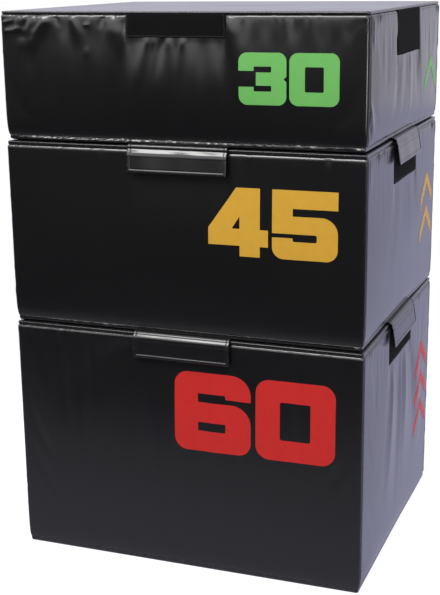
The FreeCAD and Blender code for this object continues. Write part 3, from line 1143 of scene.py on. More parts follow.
        # Fullness
        patchy = patchiness(draws, s, BROAD_WAVES, *WALL_PATCHY)
        near = from_top / LIP_REACH
        uneven = np.clip(ripple(draws, s, LIP_WAVES, LIP_UNEVEN * patchy), *LIP_LIMITS)
        lip = look.lip * (LIP_SHARE * (1 - np.exp(-2 * near)) + uneven * near * np.exp(1 - near))
        rise = self.shell(side, s, h, y)
        rise += drawn * lip * (1 - np.exp(-from_hem / LIP_OVER_HEM))
        swollen = (1 - np.exp(-from_top / PILLOW_BELOW_TOP)) * (1 - np.exp(-from_hem / PILLOW_OVER_HEM))
        pillow = look.pillow * (1.0 if side.wraps else SIDE_SLACK)
        rise += drawn * pillow * swollen * smooth_step(from_end, 0, PILLOW_FROM_CORNER)

        # Puckers, slack and folds
        rise += ease * free * patchy * look.top_gathers.rise(draws, s, from_top, -end, end)
        rise += ease * patchy * look.hem_gathers.rise(draws, s, from_hem, -end, end)
        corners = CORNER_GATHERS.rise(draws, h, from_end, HEM_HEIGHT, self.top_seam)
        rise += ease * corners * np.exp(-from_end / CORNER_GATHER_REACH)
        seam = np.minimum.reduce((from_top, from_hem, from_end))
        rise += undulation(draws, s, h, look.slack) * smooth_step(seam, 0, SLACK_FROM_SEAM)
        rise += SlackCloth(self, side).sag(s, h) * free
        for fold in look.folds.get(side, ()):
            rise += free * fold.rise(s, h)

        # Seams
        grooves = (SEAM_GROOVE, look.hem_groove, SEAM_GROOVE)
        for groove, distance in zip(grooves, (from_top, from_hem, from_end)):
            rise -= groove * np.exp(-(distance / SEAM_HALF_WIDTH) ** 2)
        return rise

    def wall(self, side: Side) -> bpy.types.Object:
        """Makes one wall panel, sewn at the hem, the top edge and the corners.

        Args:
            side: The wall.

        Returns:
            The finished piece.
        """
        end = self.wall_end(side)
        s, h = np.meshgrid(graded(-end, end, *WALL_ACROSS),
                           graded(HEM_HEIGHT, self.top_seam, *WALL_UP, self.look.pucker_zone))
        plan, out = self.path(side, s)
        points = plan + out * self.wall_rise(side, s, h, plan[..., 1])[..., None]
        points[..., 2] = self.base + h
        points, wear = self.tucked(points, out, np.minimum.reduce(self.from_seams(side, s, h)))
        name = "cover_%s_%s" % (side.label, self.label)
        piece = new_piece(name, grid_mesh("cover_wall", points), self.vinyl)
        keep_numbers(piece.data, WEAR_ATTRIBUTE, wear)
        thicken(piece, VINYL_THICKNESS)
        self.wall_trees[side] = tree_of(piece)
        seat(piece, self.body, "vinyl", "%s_wall_%s" % (side.label, self.label))
        2 * end
        self.top_seam - HEM_HEIGHT
        "foam_core_" + self.label
        return piece

    @staticmethod
    def tucked(points: np.ndarray, out: np.ndarray, seam: np.ndarray) -> tuple[np.ndarray, np.ndarray]:
        """Adds a border of fabric that turns in at every seam of a wall.

        Args:
            points: Grid of the wall's points.
            out: Outward directions.
            seam: Distances from the nearest seam.

        Returns:
            The larger grid, and how worn each point is.
        """
        wide = np.pad(points, ((1, 1), (1, 1), (0, 0)), mode="edge")
        directions = np.pad(out, ((1, 1), (1, 1), (0, 0)), mode="edge")
        border = np.ones(wide.shape[:2])
        border[1:-1, 1:-1] = 0
        wide -= directions * border[..., None] * CORNER_TUCK
        wear = np.pad(np.exp(-seam / WEAR_REACH), 1, mode="edge")
        return wide, wear

    def loop(self) -> tuple[np.ndarray, np.ndarray, np.ndarray]:
        """Follows the whole box in plan once round.

        Returns:
            Points at height zero, outward directions, and lengths along the loop.
        """
        plans, outs, lengths = [], [], []
        start = 0.0
        for side in Side:
            flat = self.halves(side)[1] - self.look.corner
            turn = self.look.corner * math.pi / 2
            s = np.concatenate([np.linspace(-flat, flat, round(2 * flat / LOOP_STEP), endpoint=False),
                                np.linspace(flat, flat + turn, CORNER_POINTS, endpoint=False)])
            plan, out = self.path(side, s)
            plans.append(plan)
            outs.append(out)
            lengths.append(start + s + flat)
            start += 2 * flat + turn
        return np.concatenate(plans), np.concatenate(outs), np.concatenate(lengths)

    def turned_rings(self, profile: list, gathers: Gathers, seed: int, is_top: bool) -> tuple[list, list]:
        """The turned edge of a top or a base.

        Args:
            profile: Rows of offset out of the wall plane, height and distance from the seam.
            gathers: Puckers of the edge.
            seed: Start of the random numbers of the puckers.
            is_top: Whether the panel is a top.

        Returns:
            Rings of points from the seam to the flat, and how worn each ring is.
        """
        plan, out, along = self.loop()
        waves = np.random.default_rng(self.look.seed + END_SEED)
        patchy = patchiness(waves, along, BROAD_WAVES, *END_PATCHY)
        worn_at, worn_reach = TURN_WEAR
        drawn = 0.0 if is_top else self.drawn_in(plan[:, 1])
        rings, wear = [], []
        for offset, height, distance in profile:
            draws = np.random.default_rng(seed)
            pucker = patchy * gathers.rise(draws, along, np.full_like(along, distance), 0, along[-1])
            fade = smooth_step(np.array(distance), 0, TURN_START)
            inset = float(np.min(offset))
            drawn_loop = plan * (1 + inset / self.half_width, 1 + inset / self.half_depth, 1)
            ring = drawn_loop + out * (offset - inset - drawn + fade * pucker)[:, None]
            ring[:, 2] = self.base + height
            rings.append(ring)
            wear.append(np.exp(-abs(distance - worn_at) / worn_reach) * np.ones_like(along))
        return rings, wear

    def flat_rings(self, edge: np.ndarray, is_top: bool) -> list:
        """The flat of a top, which is a little wavy, or of a base.

        Args:
            edge: The last ring of the turned edge.
            is_top: Whether the panel is a top.

        Returns:
            Rings of points from the edge to near the middle.
        """
        middle = np.array([0, 0, edge[0, 2]])
        rings = []
        for share in TOP_RINGS if is_top else BASE_RINGS:
            ring = middle + (edge - middle) * share
            if is_top:
                calm = (smooth_step(1 - np.abs(ring[:, 0]) / self.half_width, 0, FLAT_CALM)
                        * smooth_step(1 - np.abs(ring[:, 1]) / self.half_depth, 0, FLAT_CALM))
                draws = np.random.default_rng(self.look.seed + FLAT_SEED)
                ring[:, 2] += calm * undulation(draws, ring[:, 0], ring[:, 1], FLAT_WAVE)
            rings.append(ring)
        return rings

    def end_panel(self, name: str, profile: list, gathers: Gathers, is_top: bool) -> bpy.types.Object:
        """Makes the top or the base: a flat panel with its edge turned on to the walls.

        Args:
            name: CAD node that the panel stands for, without the box's label.
            profile: Rows of offset out of the wall plane, height and distance from the seam.
            gathers: Puckers of the turned edge.
            is_top: Whether the panel is the top.

        Returns:
            The finished piece.
        """
        rings, wear = self.turned_rings(profile, gathers, self.look.seed + len(name), is_top)
        flat = self.flat_rings(rings[-1], is_top)
        order = 1 if is_top else -1
        points = np.stack((rings + flat)[::order])
        worn = np.stack((wear + [np.zeros(len(ring)) for ring in flat])[::order])
        mesh = self.closed_panel(name, points, is_top)
        piece = new_piece("cover_%s_%s" % (name.split("_")[0], self.label), mesh, self.vinyl)
        keep_numbers(piece.data, WEAR_ATTRIBUTE, worn)
        thicken(piece, VINYL_THICKNESS)
        seat(piece, self.body, "vinyl", "%s_%s" % (name, self.label))
        "foam_core_" + self.label
        return piece

    @staticmethod
    def closed_panel(name: str, points: np.ndarray, is_top: bool) -> bpy.types.Mesh:
        """A ringed panel with its small middle hole filled.

        Args:
            name: Name of the mesh.
            points: Rings of points, the inner ring last on a top and first on a base.
            is_top: Whether the panel is a top.

        Returns:
            The mesh, its faces pointing outwards.
        """
        mesh = grid_mesh(name, points, closed=True)
        work = bmesh.new()
        work.from_mesh(mesh)
        rings, columns = points.shape[:2]
        work.verts.ensure_lookup_table()
        first = (rings - 1) * columns if is_top else 0
        inner = [work.verts[first + i] for i in range(columns)]
        middle = work.verts.new(points[-1 if is_top else 0].mean(axis=0))
        for index, vertex in enumerate(inner):
            after = inner[(index + 1) % columns]
            work.faces.new((vertex, after, middle) if is_top else (after, vertex, middle))
        work.to_mesh(mesh)
        work.free()
        return mesh

    def top(self) -> bpy.types.Object:
        """Makes the top panel: turned edge, round roll and flat.

        Returns:
            The finished piece.
        """
        profile = [(offset, self.top_seam + up, 0.0) for offset, up in SEAM_TURN]
        inward, down = self.look.top_roll
        rim = self.look.seam_drop - down
        for distance in np.linspace(TURN_START, rim, TURN_POINTS):
            hollow = TURN_HOLLOW * math.exp(-distance / TURN_START)
            profile.append((-hollow, self.top_seam + distance, distance))
        high = self.height + self.look.top_rise
        for angle in np.linspace(ROLL_START, math.pi / 2, TOP_ROLL_POINTS):
            profile.append((-inward * (1 - math.cos(angle)), high - down * (1 - math.sin(angle)),
                            rim + down * angle))
        return self.end_panel("top_panel", profile, RIM_GATHERS, True)

    def frill(self) -> np.ndarray:
        """How far the puckers of the hem stand out, all round the box.

        Returns:
            One height for each point of the loop.
        """
        along = self.loop()[2]
        draws = np.random.default_rng(self.look.seed + FRILL_SEED)
        quick = patchiness(draws, along, FRILL_WAVES, *FRILL_PATCHY)
        height = np.full_like(along, FRILL_LEAST)
        front = along - (self.halves(Side.FRONT)[1] - self.look.corner)
        for middle, half, rise in self.look.frills:
            height += rise * np.exp(-((front - middle) / half) ** 4)
        return height * quick

    @staticmethod
    def hem_line(frill: np.ndarray, drop: float) -> np.ndarray:
        """How far the hem stands out at a distance below its seam."""
        return frill * math.sin(math.pi * min(drop / HEM_BAND, 1) ** HEM_SKEW) - HEM_STEP

    def base_tray(self) -> bpy.types.Object:
        """Makes the base panel: puckered hem, round edge and flat underside.

        Returns:
            The finished piece.
        """
        frill = self.frill()
        inward, down = self.look.base_roll
        tucked, stepped, free = (HEM_HEIGHT - drop for drop in HEM_TURN)
        profile = [(-SEAM_TUCK, tucked, 0.0), (-HEM_STEP - HEM_TUCKED * frill, stepped, 0.0)]
        dent, dent_share, dent_width = HEM_STITCH
        for height in np.linspace(free, down + HEM_END, HEM_POINTS):
            drop = HEM_HEIGHT - height
            out = self.hem_line(frill, drop) - HEM_TUCKED * frill * math.exp(-drop / HEM_TUCK_REACH)
            stitched = math.exp(-((height - HEM_STITCH_HEIGHT) / dent_width) ** 2)
            profile.append((out - (dent + dent_share * frill) * stitched, height, drop))
        for angle in np.linspace(ROLL_START, math.pi / 2, BASE_ROLL_POINTS):
            drop = HEM_HEIGHT - down * (1 - math.sin(angle))
            out = self.hem_line(frill, drop) - inward * (1 - math.cos(angle))
            profile.append((out, HEM_HEIGHT - drop, drop))
        return self.end_panel("base_panel", profile, self.look.hem_gathers, False)

    def on_wall(self, side: Side, s: np.ndarray, z: np.ndarray, lift: float) -> tuple[np.ndarray, np.ndarray]:
        """Points on the dressed cover of a wall.

        Args:
            side: The wall.
            s: Lengths along it from its middle.
            z: Heights in the set.
            lift: Distance out of the cover.

        Returns:
            The points, and the outward directions of the wall there.
        """
        plan, out = self.path(side, s)
        tree = self.wall_trees[side]
        points = np.empty_like(plan)
        for index in np.ndindex(plan.shape[:-1]):
            way = Vector(out[index])
            start = Vector((plan[index][0], plan[index][1], z[index])) + way * PROBE
            hit = tree.ray_cast(start, -way)[0]
            points[index] = (hit or start - way * PROBE) + way * lift
        return points, out

    def build(self) -> None:
        """Makes every panel."""
        for side in Side:
            self.wall(side)
        self.top()
        self.base_tray()


# Slack of the cloth


def softened(values: np.ndarray, rounds: int) -> np.ndarray:
    """Evens out an array by the mean of each value's neighbours.

    Args:
        values: Values in rows.
        rounds: How often the mean is taken.

    Returns:
        The broad form of the values.
    """
    for _ in range(rounds):
        wide = np.pad(values, 1, mode="edge")
        values = (wide[:-2, 1:-1] + wide[2:, 1:-1] + wide[1:-1, :-2] + wide[1:-1, 2:]) / 4
    return values


def resampled(values: np.ndarray, places: np.ndarray) -> np.ndarray:
    """Reads smooth values between the rows of an array.

    Args:
        values: Values in rows.
        places: Row numbers, whole or not.

    Returns:
        One row for each place.
    """
    row = np.clip(np.floor(places).astype(int), 0, len(values) - 2)
    part = (places - row)[:, None]
    before, after = np.maximum(row - 1, 0), np.minimum(row + 2, len(values) - 1)
    a, b, c, d = values[before], values[row], values[row + 1], values[after]
    return 0.5 * (2 * b + (c - a) * part + (2 * a - 5 * b + 4 * c - d) * part ** 2
                  + (3 * b - a - 3 * c + d) * part ** 3)


@dataclass
class SlackCloth:
    """A coarse cloth panel, held along its seams and its patch, that sags over the foam."""

    cover: BoxCover
    side: Side
    spacing: float = 12.0 * MM
    frames: int = 22
    spare: float = 0.006
    press: float = 0.6
    quality: int = 6
    mass: float = 0.25
    stiffness: float = 1.2
    broad_rounds: int = 60
    border: tuple = (12 * MM, 70 * MM)
    low_share: float = 0.4
    full_height: float = 0.7

    def sag(self, s: np.ndarray, h: np.ndarray) -> np.ndarray:
        """How far the cloth stands out after the simulation; nothing when the look gives it no sag.

        Args:
            s: Lengths along the wall.
            h: Heights over the base.

        Returns:
            Heights, limited to the slack of the cover.
        """
        limit = self.cover.look.sag * (1.0 if self.side.wraps else SIDE_SLACK)
        if limit == 0:
            return np.zeros_like(s)
        end = self.cover.wall_end(self.side)
        low, high = HEM_HEIGHT, self.cover.top_seam
        across = np.linspace(-end, end, round(2 * end / self.spacing))
        up = np.linspace(low, high, round((high - low) / self.spacing))
        out = self.simulated(across, up)
        out = limit * np.tanh((out - softened(out, self.broad_rounds)) / limit)
        rows = (h[:, 0] - low) / (high - low) * (len(up) - 1)
        columns = (s[0] + end) / (2 * end) * (len(across) - 1)
        fine = resampled(resampled(out, rows).T, columns).T
        border = np.minimum.reduce(self.cover.from_seams(self.side, s, h))
        log.info("cloth of %s %s sags by %.1f mm", self.side.label, self.cover.label, np.ptp(fine) / MM)
        upper = self.low_share + (1 - self.low_share) * smooth_step(h, low, self.full_height * high)
        return fine * smooth_step(border, *self.border) * upper

    def simulated(self, across: np.ndarray, up: np.ndarray) -> np.ndarray:
        """Lets the cloth go and reads where it comes to rest.

        Args:
            across: Lengths along the wall.
            up: Heights over the base.

        Returns:
            How far each point of the grid stands out.
        """
        s, h = np.meshgrid(across, up)
        points = np.stack([s, np.zeros_like(s), h], axis=-1)
        cloth = new_piece("slack_cloth", grid_mesh("slack_cloth", points), self.cover.vinyl)
        still = self.cover.pressed(self.side, s, self.cover.base + h) > 0.5
        still[[0, -1], :] = True
        still[:, [0, -1]] = True
        held = cloth.vertex_groups.new(name="held")
        held.add(np.flatnonzero(still.ravel()).tolist(), 1.0, "REPLACE")
        modifier = cloth.modifiers.new("cloth", "CLOTH")
        settings = modifier.settings
        settings.vertex_group_mass = "held"
        settings.quality = self.quality
        settings.mass = self.mass
        settings.bending_stiffness = self.stiffness
        settings.shrink_min = -self.spare
        settings.use_pressure = True
        settings.uniform_pressure_force = self.press
        modifier.collision_settings.use_collision = False
        modifier.point_cache.frame_start = 1
        modifier.point_cache.frame_end = self.frames
        for number in range(1, self.frames + 1):
            bpy.context.scene.frame_set(number)
        mesh = cloth.evaluated_get(bpy.context.evaluated_depsgraph_get()).data
        places = np.empty(3 * len(mesh.vertices), np.float32)
        mesh.vertices.foreach_get("co", places)
        out = -places.reshape(-1, 3)[:, 1].reshape(s.shape).astype(float)
        flat = cloth.data
        bpy.data.objects.remove(cloth)
        bpy.data.meshes.remove(flat)
        bpy.context.scene.frame_set(1)
        return out


# Foam


@dataclass
class FoamCore:
    """The bonded foam slabs inside one cover."""

    cover: BoxCover
    foam: bpy.types.Material
    clearance: float = 5.0 * MM
    corner: float = 6.0 * MM
    slab_height: float = 0.15
    bond: float = 0.3 * MM

    def build(self) -> bpy.types.Object:
        """Makes the slabs, each with cut edges that are slightly round.

        Returns:
            The finished piece.
        """
        node = "foam_slabs_" + self.cover.label
        low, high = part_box(node)
        slabs = round((high.z - low.z) / self.slab_height)
        half_x = self.cover.half_width - self.clearance
        half_y = self.cover.half_depth - self.clearance
        bottom, inside = low.z + self.clearance, high.z - low.z - 2 * self.clearance
        work = bmesh.new()
        for index in range(slabs):
            z_low, z_high = bottom + inside * index / slabs, bottom + inside * (index + 1) / slabs
            for vertex in bmesh.ops.create_cube(work, size=1.0)["verts"]:
                vertex.co = Vector((vertex.co.x * 2 * half_x, vertex.co.y * 2 * half_y,
                                    (z_low + z_high) / 2 + vertex.co.z * (z_high - z_low - self.bond)))
        bmesh.ops.bevel(work, geom=work.edges[:], offset=self.corner, segments=4, profile=0.5, affect="EDGES")
        mesh = bpy.data.meshes.new(node)
        work.to_mesh(mesh)
        work.free()
        piece = new_piece("foam_core_" + self.cover.label, mesh, self.foam)
        seat(piece, self.cover.body, "foam", node)
        return piece


# Loop patches


@dataclass
class LoopPatch:
    """A patch of loop fabric sewn to the top of a wall; its lines are where it is stitched."""

    cover: BoxCover
    side: Side
    loop: bpy.types.Material
    lines: list = field(default_factory=list)
    edge_wave: float = 0.35 * MM
    edge_waves: tuple = (90 * MM, 300 * MM)
    end_wave: float = 0.004
    end_waves: tuple = (20 * MM, 90 * MM)
    thickness: float = 1.6 * MM
    pile: float = 0.9 * MM
    pile_wave: float = 0.22 * MM
    stitch_inset: float = 3.5 * MM
    stitch_depth: float = 0.7 * MM
    stitch_width: float = 1.6 * MM
    cut_depth: float = 1.0 * MM
    cut_reach: float = 0.9 * MM
    backing: float = 0.8 * MM
    across_steps: tuple = (1.2 * MM, 4 * MM, 9 * MM)
    up_steps: tuple = (0.02, 0.08, 0.12)

    def build(self) -> bpy.types.Object:
        """Makes the patch as a sheet that follows the cover.

        Returns:
            The finished piece.
        """
        cover = self.cover
        draws = np.random.default_rng(cover.look.seed + PATCH_SEED + self.side.value)
        half, low, high = patch_outline(cover.label, self.side)
        s, share = np.meshgrid(graded(-half, half, *self.across_steps), graded(0, 1, *self.up_steps))
        lower = low + ripple(draws, s, self.edge_waves, self.edge_wave)
        z = lower + (high - lower) * share
        s = s * (1 + ripple(draws, z, self.end_waves, self.end_wave))
        plan, out = cover.path(self.side, s)
        rise = cover.shell(self.side, s, z - cover.base, plan[..., 1])
        border = np.minimum(half - np.abs(s), np.minimum(z - lower, high - z))
        stitched = self.stitch_depth * np.exp(-((border - self.stitch_inset) / self.stitch_width) ** 2)
        rise += self.thickness + self.pile - stitched + undulation(draws, s, z, self.pile_wave)
        rise -= self.cut_depth * np.exp(-np.maximum(border, 0) / self.cut_reach)
        points = plan + out * rise[..., None]
        points[..., 2] = z
        name = "loop_patch_%s_%s" % (self.side.label, cover.label)
        piece = new_piece(name, grid_mesh("patch", points), self.loop)
        thicken(piece, self.thickness + self.backing)
        seat(piece, cover.body, "loop", patch_node(cover.label, self.side))
        "cover_%s_%s" % (self.side.label, cover.label)
        row = int(np.argmin(np.abs(border[:, border.shape[1] // 2] - self.stitch_inset)))
        column = int(np.argmin(np.abs(half - np.abs(s[0]) - self.stitch_inset)))
        inside = slice(column, s.shape[1] - column)
        picks = [(row, inside), (slice(row, -row - 1), column), (slice(row, -row - 1), -column - 1)]
        self.lines = [(points[pick] + out[pick] * STITCH_LIFT, out[pick]) for pick in picks]
        return piece


# Prints


@dataclass
class PrintFilm:
    """A printed figure, pressed on to the dressed wall."""

    cover: BoxCover
    side: Side
    node: str
    ink: bpy.types.Material
    cell: float = 7.0 * MM
    lift: float = 0.35 * MM
    thickness: float = 0.25 * MM
    weld: float = 0.01 * MM
    facing: float = 0.5
    sharp: float = math.radians(40)

    def build(self) -> bpy.types.Object:
        """Cuts the outer face of the CAD film into small cells and lays them on the cover.

        Returns:
            The finished piece.
        """
        work = bmesh.new()
        work.from_mesh(frame["nodes"][self.node].data)
        bmesh.ops.remove_doubles(work, verts=work.verts, dist=self.weld)
        away = Vector(self.side.turned(np.array([0.0, -1.0, 0.0])))
        inner = [face for face in work.faces if face.normal.dot(away) < self.facing]
        bmesh.ops.delete(work, geom=inner, context="FACES")
        across = Vector(self.side.turned(np.array([1.0, 0.0, 0.0])))
        for axis in (across, Vector((0, 0, 1))):
            places = [vertex.co.dot(axis) for vertex in work.verts]
            for place in np.arange(min(places) + self.cell, max(places), self.cell):
                bmesh.ops.bisect_plane(work, geom=work.verts[:] + work.edges[:] + work.faces[:],
                                       plane_co=axis * place, plane_no=axis, dist=1e-6)
        tree = self.cover.wall_trees[self.side]
        for vertex in work.verts:
            hit = tree.ray_cast(vertex.co + away * PROBE, -away)[0]
            vertex.co = hit + away * self.lift
        mesh = bpy.data.meshes.new(self.node)
        work.to_mesh(mesh)
        work.free()
        piece = new_piece("print_" + self.node, mesh, self.ink)
        thicken(piece, self.thickness)
        piece.data.set_sharp_from_angle(angle=self.sharp)
        return seat(piece, self.cover.body, PRINT_SLOTS[self.cover.label], self.node)


# Stitches and other repeated small pieces


class BeadTree:
    """Geometry nodes that set rounded beads along lines: stitches, hooks or the coils of a zip."""

    INPUTS = {"Geometry": "NodeSocketGeometry", "Pitch": "NodeSocketFloat", "Size": "NodeSocketVector",
              "Material": "NodeSocketMaterial", "Segments": "NodeSocketInt", "Rings": "NodeSocketInt"}

    def __init__(self, name: str) -> None:
        """Builds the tree once."""
        self.tree = bpy.data.node_groups.new(name, "GeometryNodeTree")
        face = self.tree.interface
        self.keys = {label: face.new_socket(label, in_out="INPUT", socket_type=kind).identifier
                     for label, kind in self.INPUTS.items()}
        face.new_socket("Geometry", in_out="OUTPUT", socket_type="NodeSocketGeometry")
        graph = Graph(self.tree)
        given = {label: graph.node("NodeGroupInput", output=label) for label in self.INPUTS}
        curve = graph.node("GeometryNodeMeshToCurve", None, {"Mesh": given["Geometry"]})
        spots = graph.node("GeometryNodeResampleCurve", {"mode": "LENGTH"},
                           {"Curve": curve, "Length": given["Pitch"]})
        ball = graph.node("GeometryNodeMeshUVSphere", None,
                          {"Segments": given["Segments"], "Rings": given["Rings"]}, "Mesh")
        bead = graph.node("GeometryNodeTransform", None, {"Geometry": ball, "Scale": given["Size"]})
        out = graph.node("GeometryNodeInputNamedAttribute", {"data_type": "FLOAT_VECTOR"},
                         {"Name": OUT_ATTRIBUTE}, "Attribute")
        upright = graph.node("FunctionNodeAlignEulerToVector", {"axis": "Z"}, {"Vector": out})
        tangent = graph.node("GeometryNodeInputTangent")
        turn = graph.node("FunctionNodeAlignEulerToVector", {"axis": "X", "pivot_axis": "Z"},
                          {"Rotation": upright, "Vector": tangent})
        beads = graph.node("GeometryNodeInstanceOnPoints", None,
                           {"Points": spots, "Instance": bead, "Rotation": turn})
        real = graph.node("GeometryNodeRealizeInstances", None, {"Geometry": beads})
        dressed = graph.node("GeometryNodeSetMaterial", None,
                             {"Geometry": real, "Material": given["Material"]})
        end = self.tree.nodes.new("NodeGroupOutput")
        self.tree.links.new(dressed.output, end.inputs["Geometry"])

    def piece(self, name: str, lines: list, pitch: float, size: tuple, material: bpy.types.Material,
              segments: int = 6, rings: int = 4) -> bpy.types.Object:
        """Sets beads along lines and keeps them as a plain mesh.

        Args:
            name: Name of the piece.
            lines: Pairs of points and outward directions.
            pitch: Distance between beads.
            size: Half length, half width and half height of a bead.
            material: Material of the beads.
            segments: Faces round a bead.
            rings: Rows of faces along a bead.

        Returns:
            The new piece.
        """
        points = np.concatenate([line[0] for line in lines])
        outs = np.concatenate([line[1] for line in lines])
        edges, start = [], 0
        for line in lines:
            edges += [(start + i, start + i + 1) for i in range(len(line[0]) - 1)]
            start += len(line[0])
        mesh = bpy.data.meshes.new(name)
        mesh.from_pydata(points.tolist(), edges, [])
        keep_directions(mesh, OUT_ATTRIBUTE, outs)
        piece = bpy.data.objects.new(name, mesh)
        bpy.context.scene.collection.objects.link(piece)
        modifier = piece.modifiers.new("beads", "NODES")
        modifier.node_group = self.tree
        values = {"Pitch": pitch, "Size": size, "Material": material, "Segments": segments, "Rings": rings}
        for label, value in values.items():
            modifier[self.keys[label]] = value
        settle(piece)
        piece.data.shade_smooth()
        return piece


@dataclass
class CoverStitches:
    """Every visible line of stitches on one cover and its patches."""

    cover: BoxCover
    beads: BeadTree
    thread: bpy.types.Material
    patches: list
    below_seam: float = 5.0 * MM
    beside_corner: float = 4.0 * MM
    step: float = 9.0 * MM

    def wall_lines(self, side: Side) -> list:
        """Lines below the top seam and beside the vertical seams of one wall.

        Args:
            side: The wall.

        Returns:
            Pairs of points and outward directions.
        """
        cover = self.cover
        end = cover.wall_end(side) - self.beside_corner
        high = cover.base + cover.top_seam - self.below_seam
        low = cover.base + HEM_HEIGHT + self.below_seam
        lines = []
        across = np.linspace(-end, end, round(2 * end / self.step))
        lines.append(cover.on_wall(side, across, np.full_like(across, high), STITCH_LIFT))
        if side.wraps:
            up = np.linspace(low, high, round((high - low) / self.step))
            for way in (-1, 1):
                lines.append(cover.on_wall(side, np.full_like(up, way * end), up, STITCH_LIFT))
        return lines

    def build(self) -> bpy.types.Object:
        """Makes all the stitches of the cover.

        Returns:
            The finished piece.
        """
        lines = [line for side in Side for line in self.wall_lines(side)]
        lines += [line for patch in self.patches for line in patch.lines]
        name = "stitches_" + self.cover.label
        piece = self.beads.piece(name, lines, STITCH_PITCH, STITCH_SIZE, self.thread)
        return seat(piece, self.cover.body, "vinyl")


# Flaps

# Marks of a flap's line, seen from its axis: back and up at the root, then in shares of the bend
ROOT_RISE = 4.0 * MM
ROOT_MARKS = ((13 * MM, 1.0 * MM), (8 * MM, 0.2 * MM))
BEND_MARKS = ((1.0, 0.23), (0.34, 0.74), (0.11, 1.43))
BEND_END = 0.1 * MM
FLARE_SHARES = (0.2, 0.5, 0.8)
HANG_START = 2 * MM
HANG_MARKS = 9
SECTION_STEPS = 5
BEND_DROP = 3 * MM

# Grid and waves of a flap
FLAP_ACROSS = (1.0 * MM, 5 * MM, 9 * MM)
FLAP_LOOSE = (-2 * MM, 12 * MM)
FLAP_WAVES = (90 * MM, 300 * MM)
ROLL_WAVES = (70 * MM, 260 * MM)
ROLL_DROP = 5 * MM
ROOT_WAVE = 0.4

# Sewn detail of a flap: depth or height, then width
HEM_RISE = 0.8 * MM
HEM_EASE = (-0.6 * MM, 0.8 * MM)
HEM_DENT = (0.8 * MM, 1.0 * MM)
SEWN_WIDTH = 1.2 * MM
FLAP_EDGE = (0.5 * MM, 0.7 * MM)
FLAP_WEAR = 5 * MM
FLAP_STITCH_PITCH = 4.2 * MM
FLAP_STITCH_SIZE = (1.6 * MM, 0.4 * MM, 0.3 * MM)
FLAP_STITCH_LIFT = 0.25 * MM

# Points where a flap starts and ends, near its axis: behind, over and below the axis
SWING_START = (6 * MM, 3 * MM)
SWING_END = 8 * MM

# Hook strip: distances from the bend, the tip and the ends of the flap, then its thickness and its hooks
STRIP_DROP = 8 * MM
STRIP_OVER_TIP = 7 * MM
STRIP_INSET = 9 * MM
STRIP_GAP = 0.15 * MM
STRIP_RISE = (0.9 * MM, 0.8 * MM)
STRIP_THICKNESS = 0.7 * MM
HOOK_MARGINS = (2 * MM, 1.5 * MM)
HOOK_INSET = 10.5 * MM
HOOK_LIFT = 1.15 * MM
HOOK_SIZE = (0.35 * MM, 0.35 * MM, 0.38 * MM)


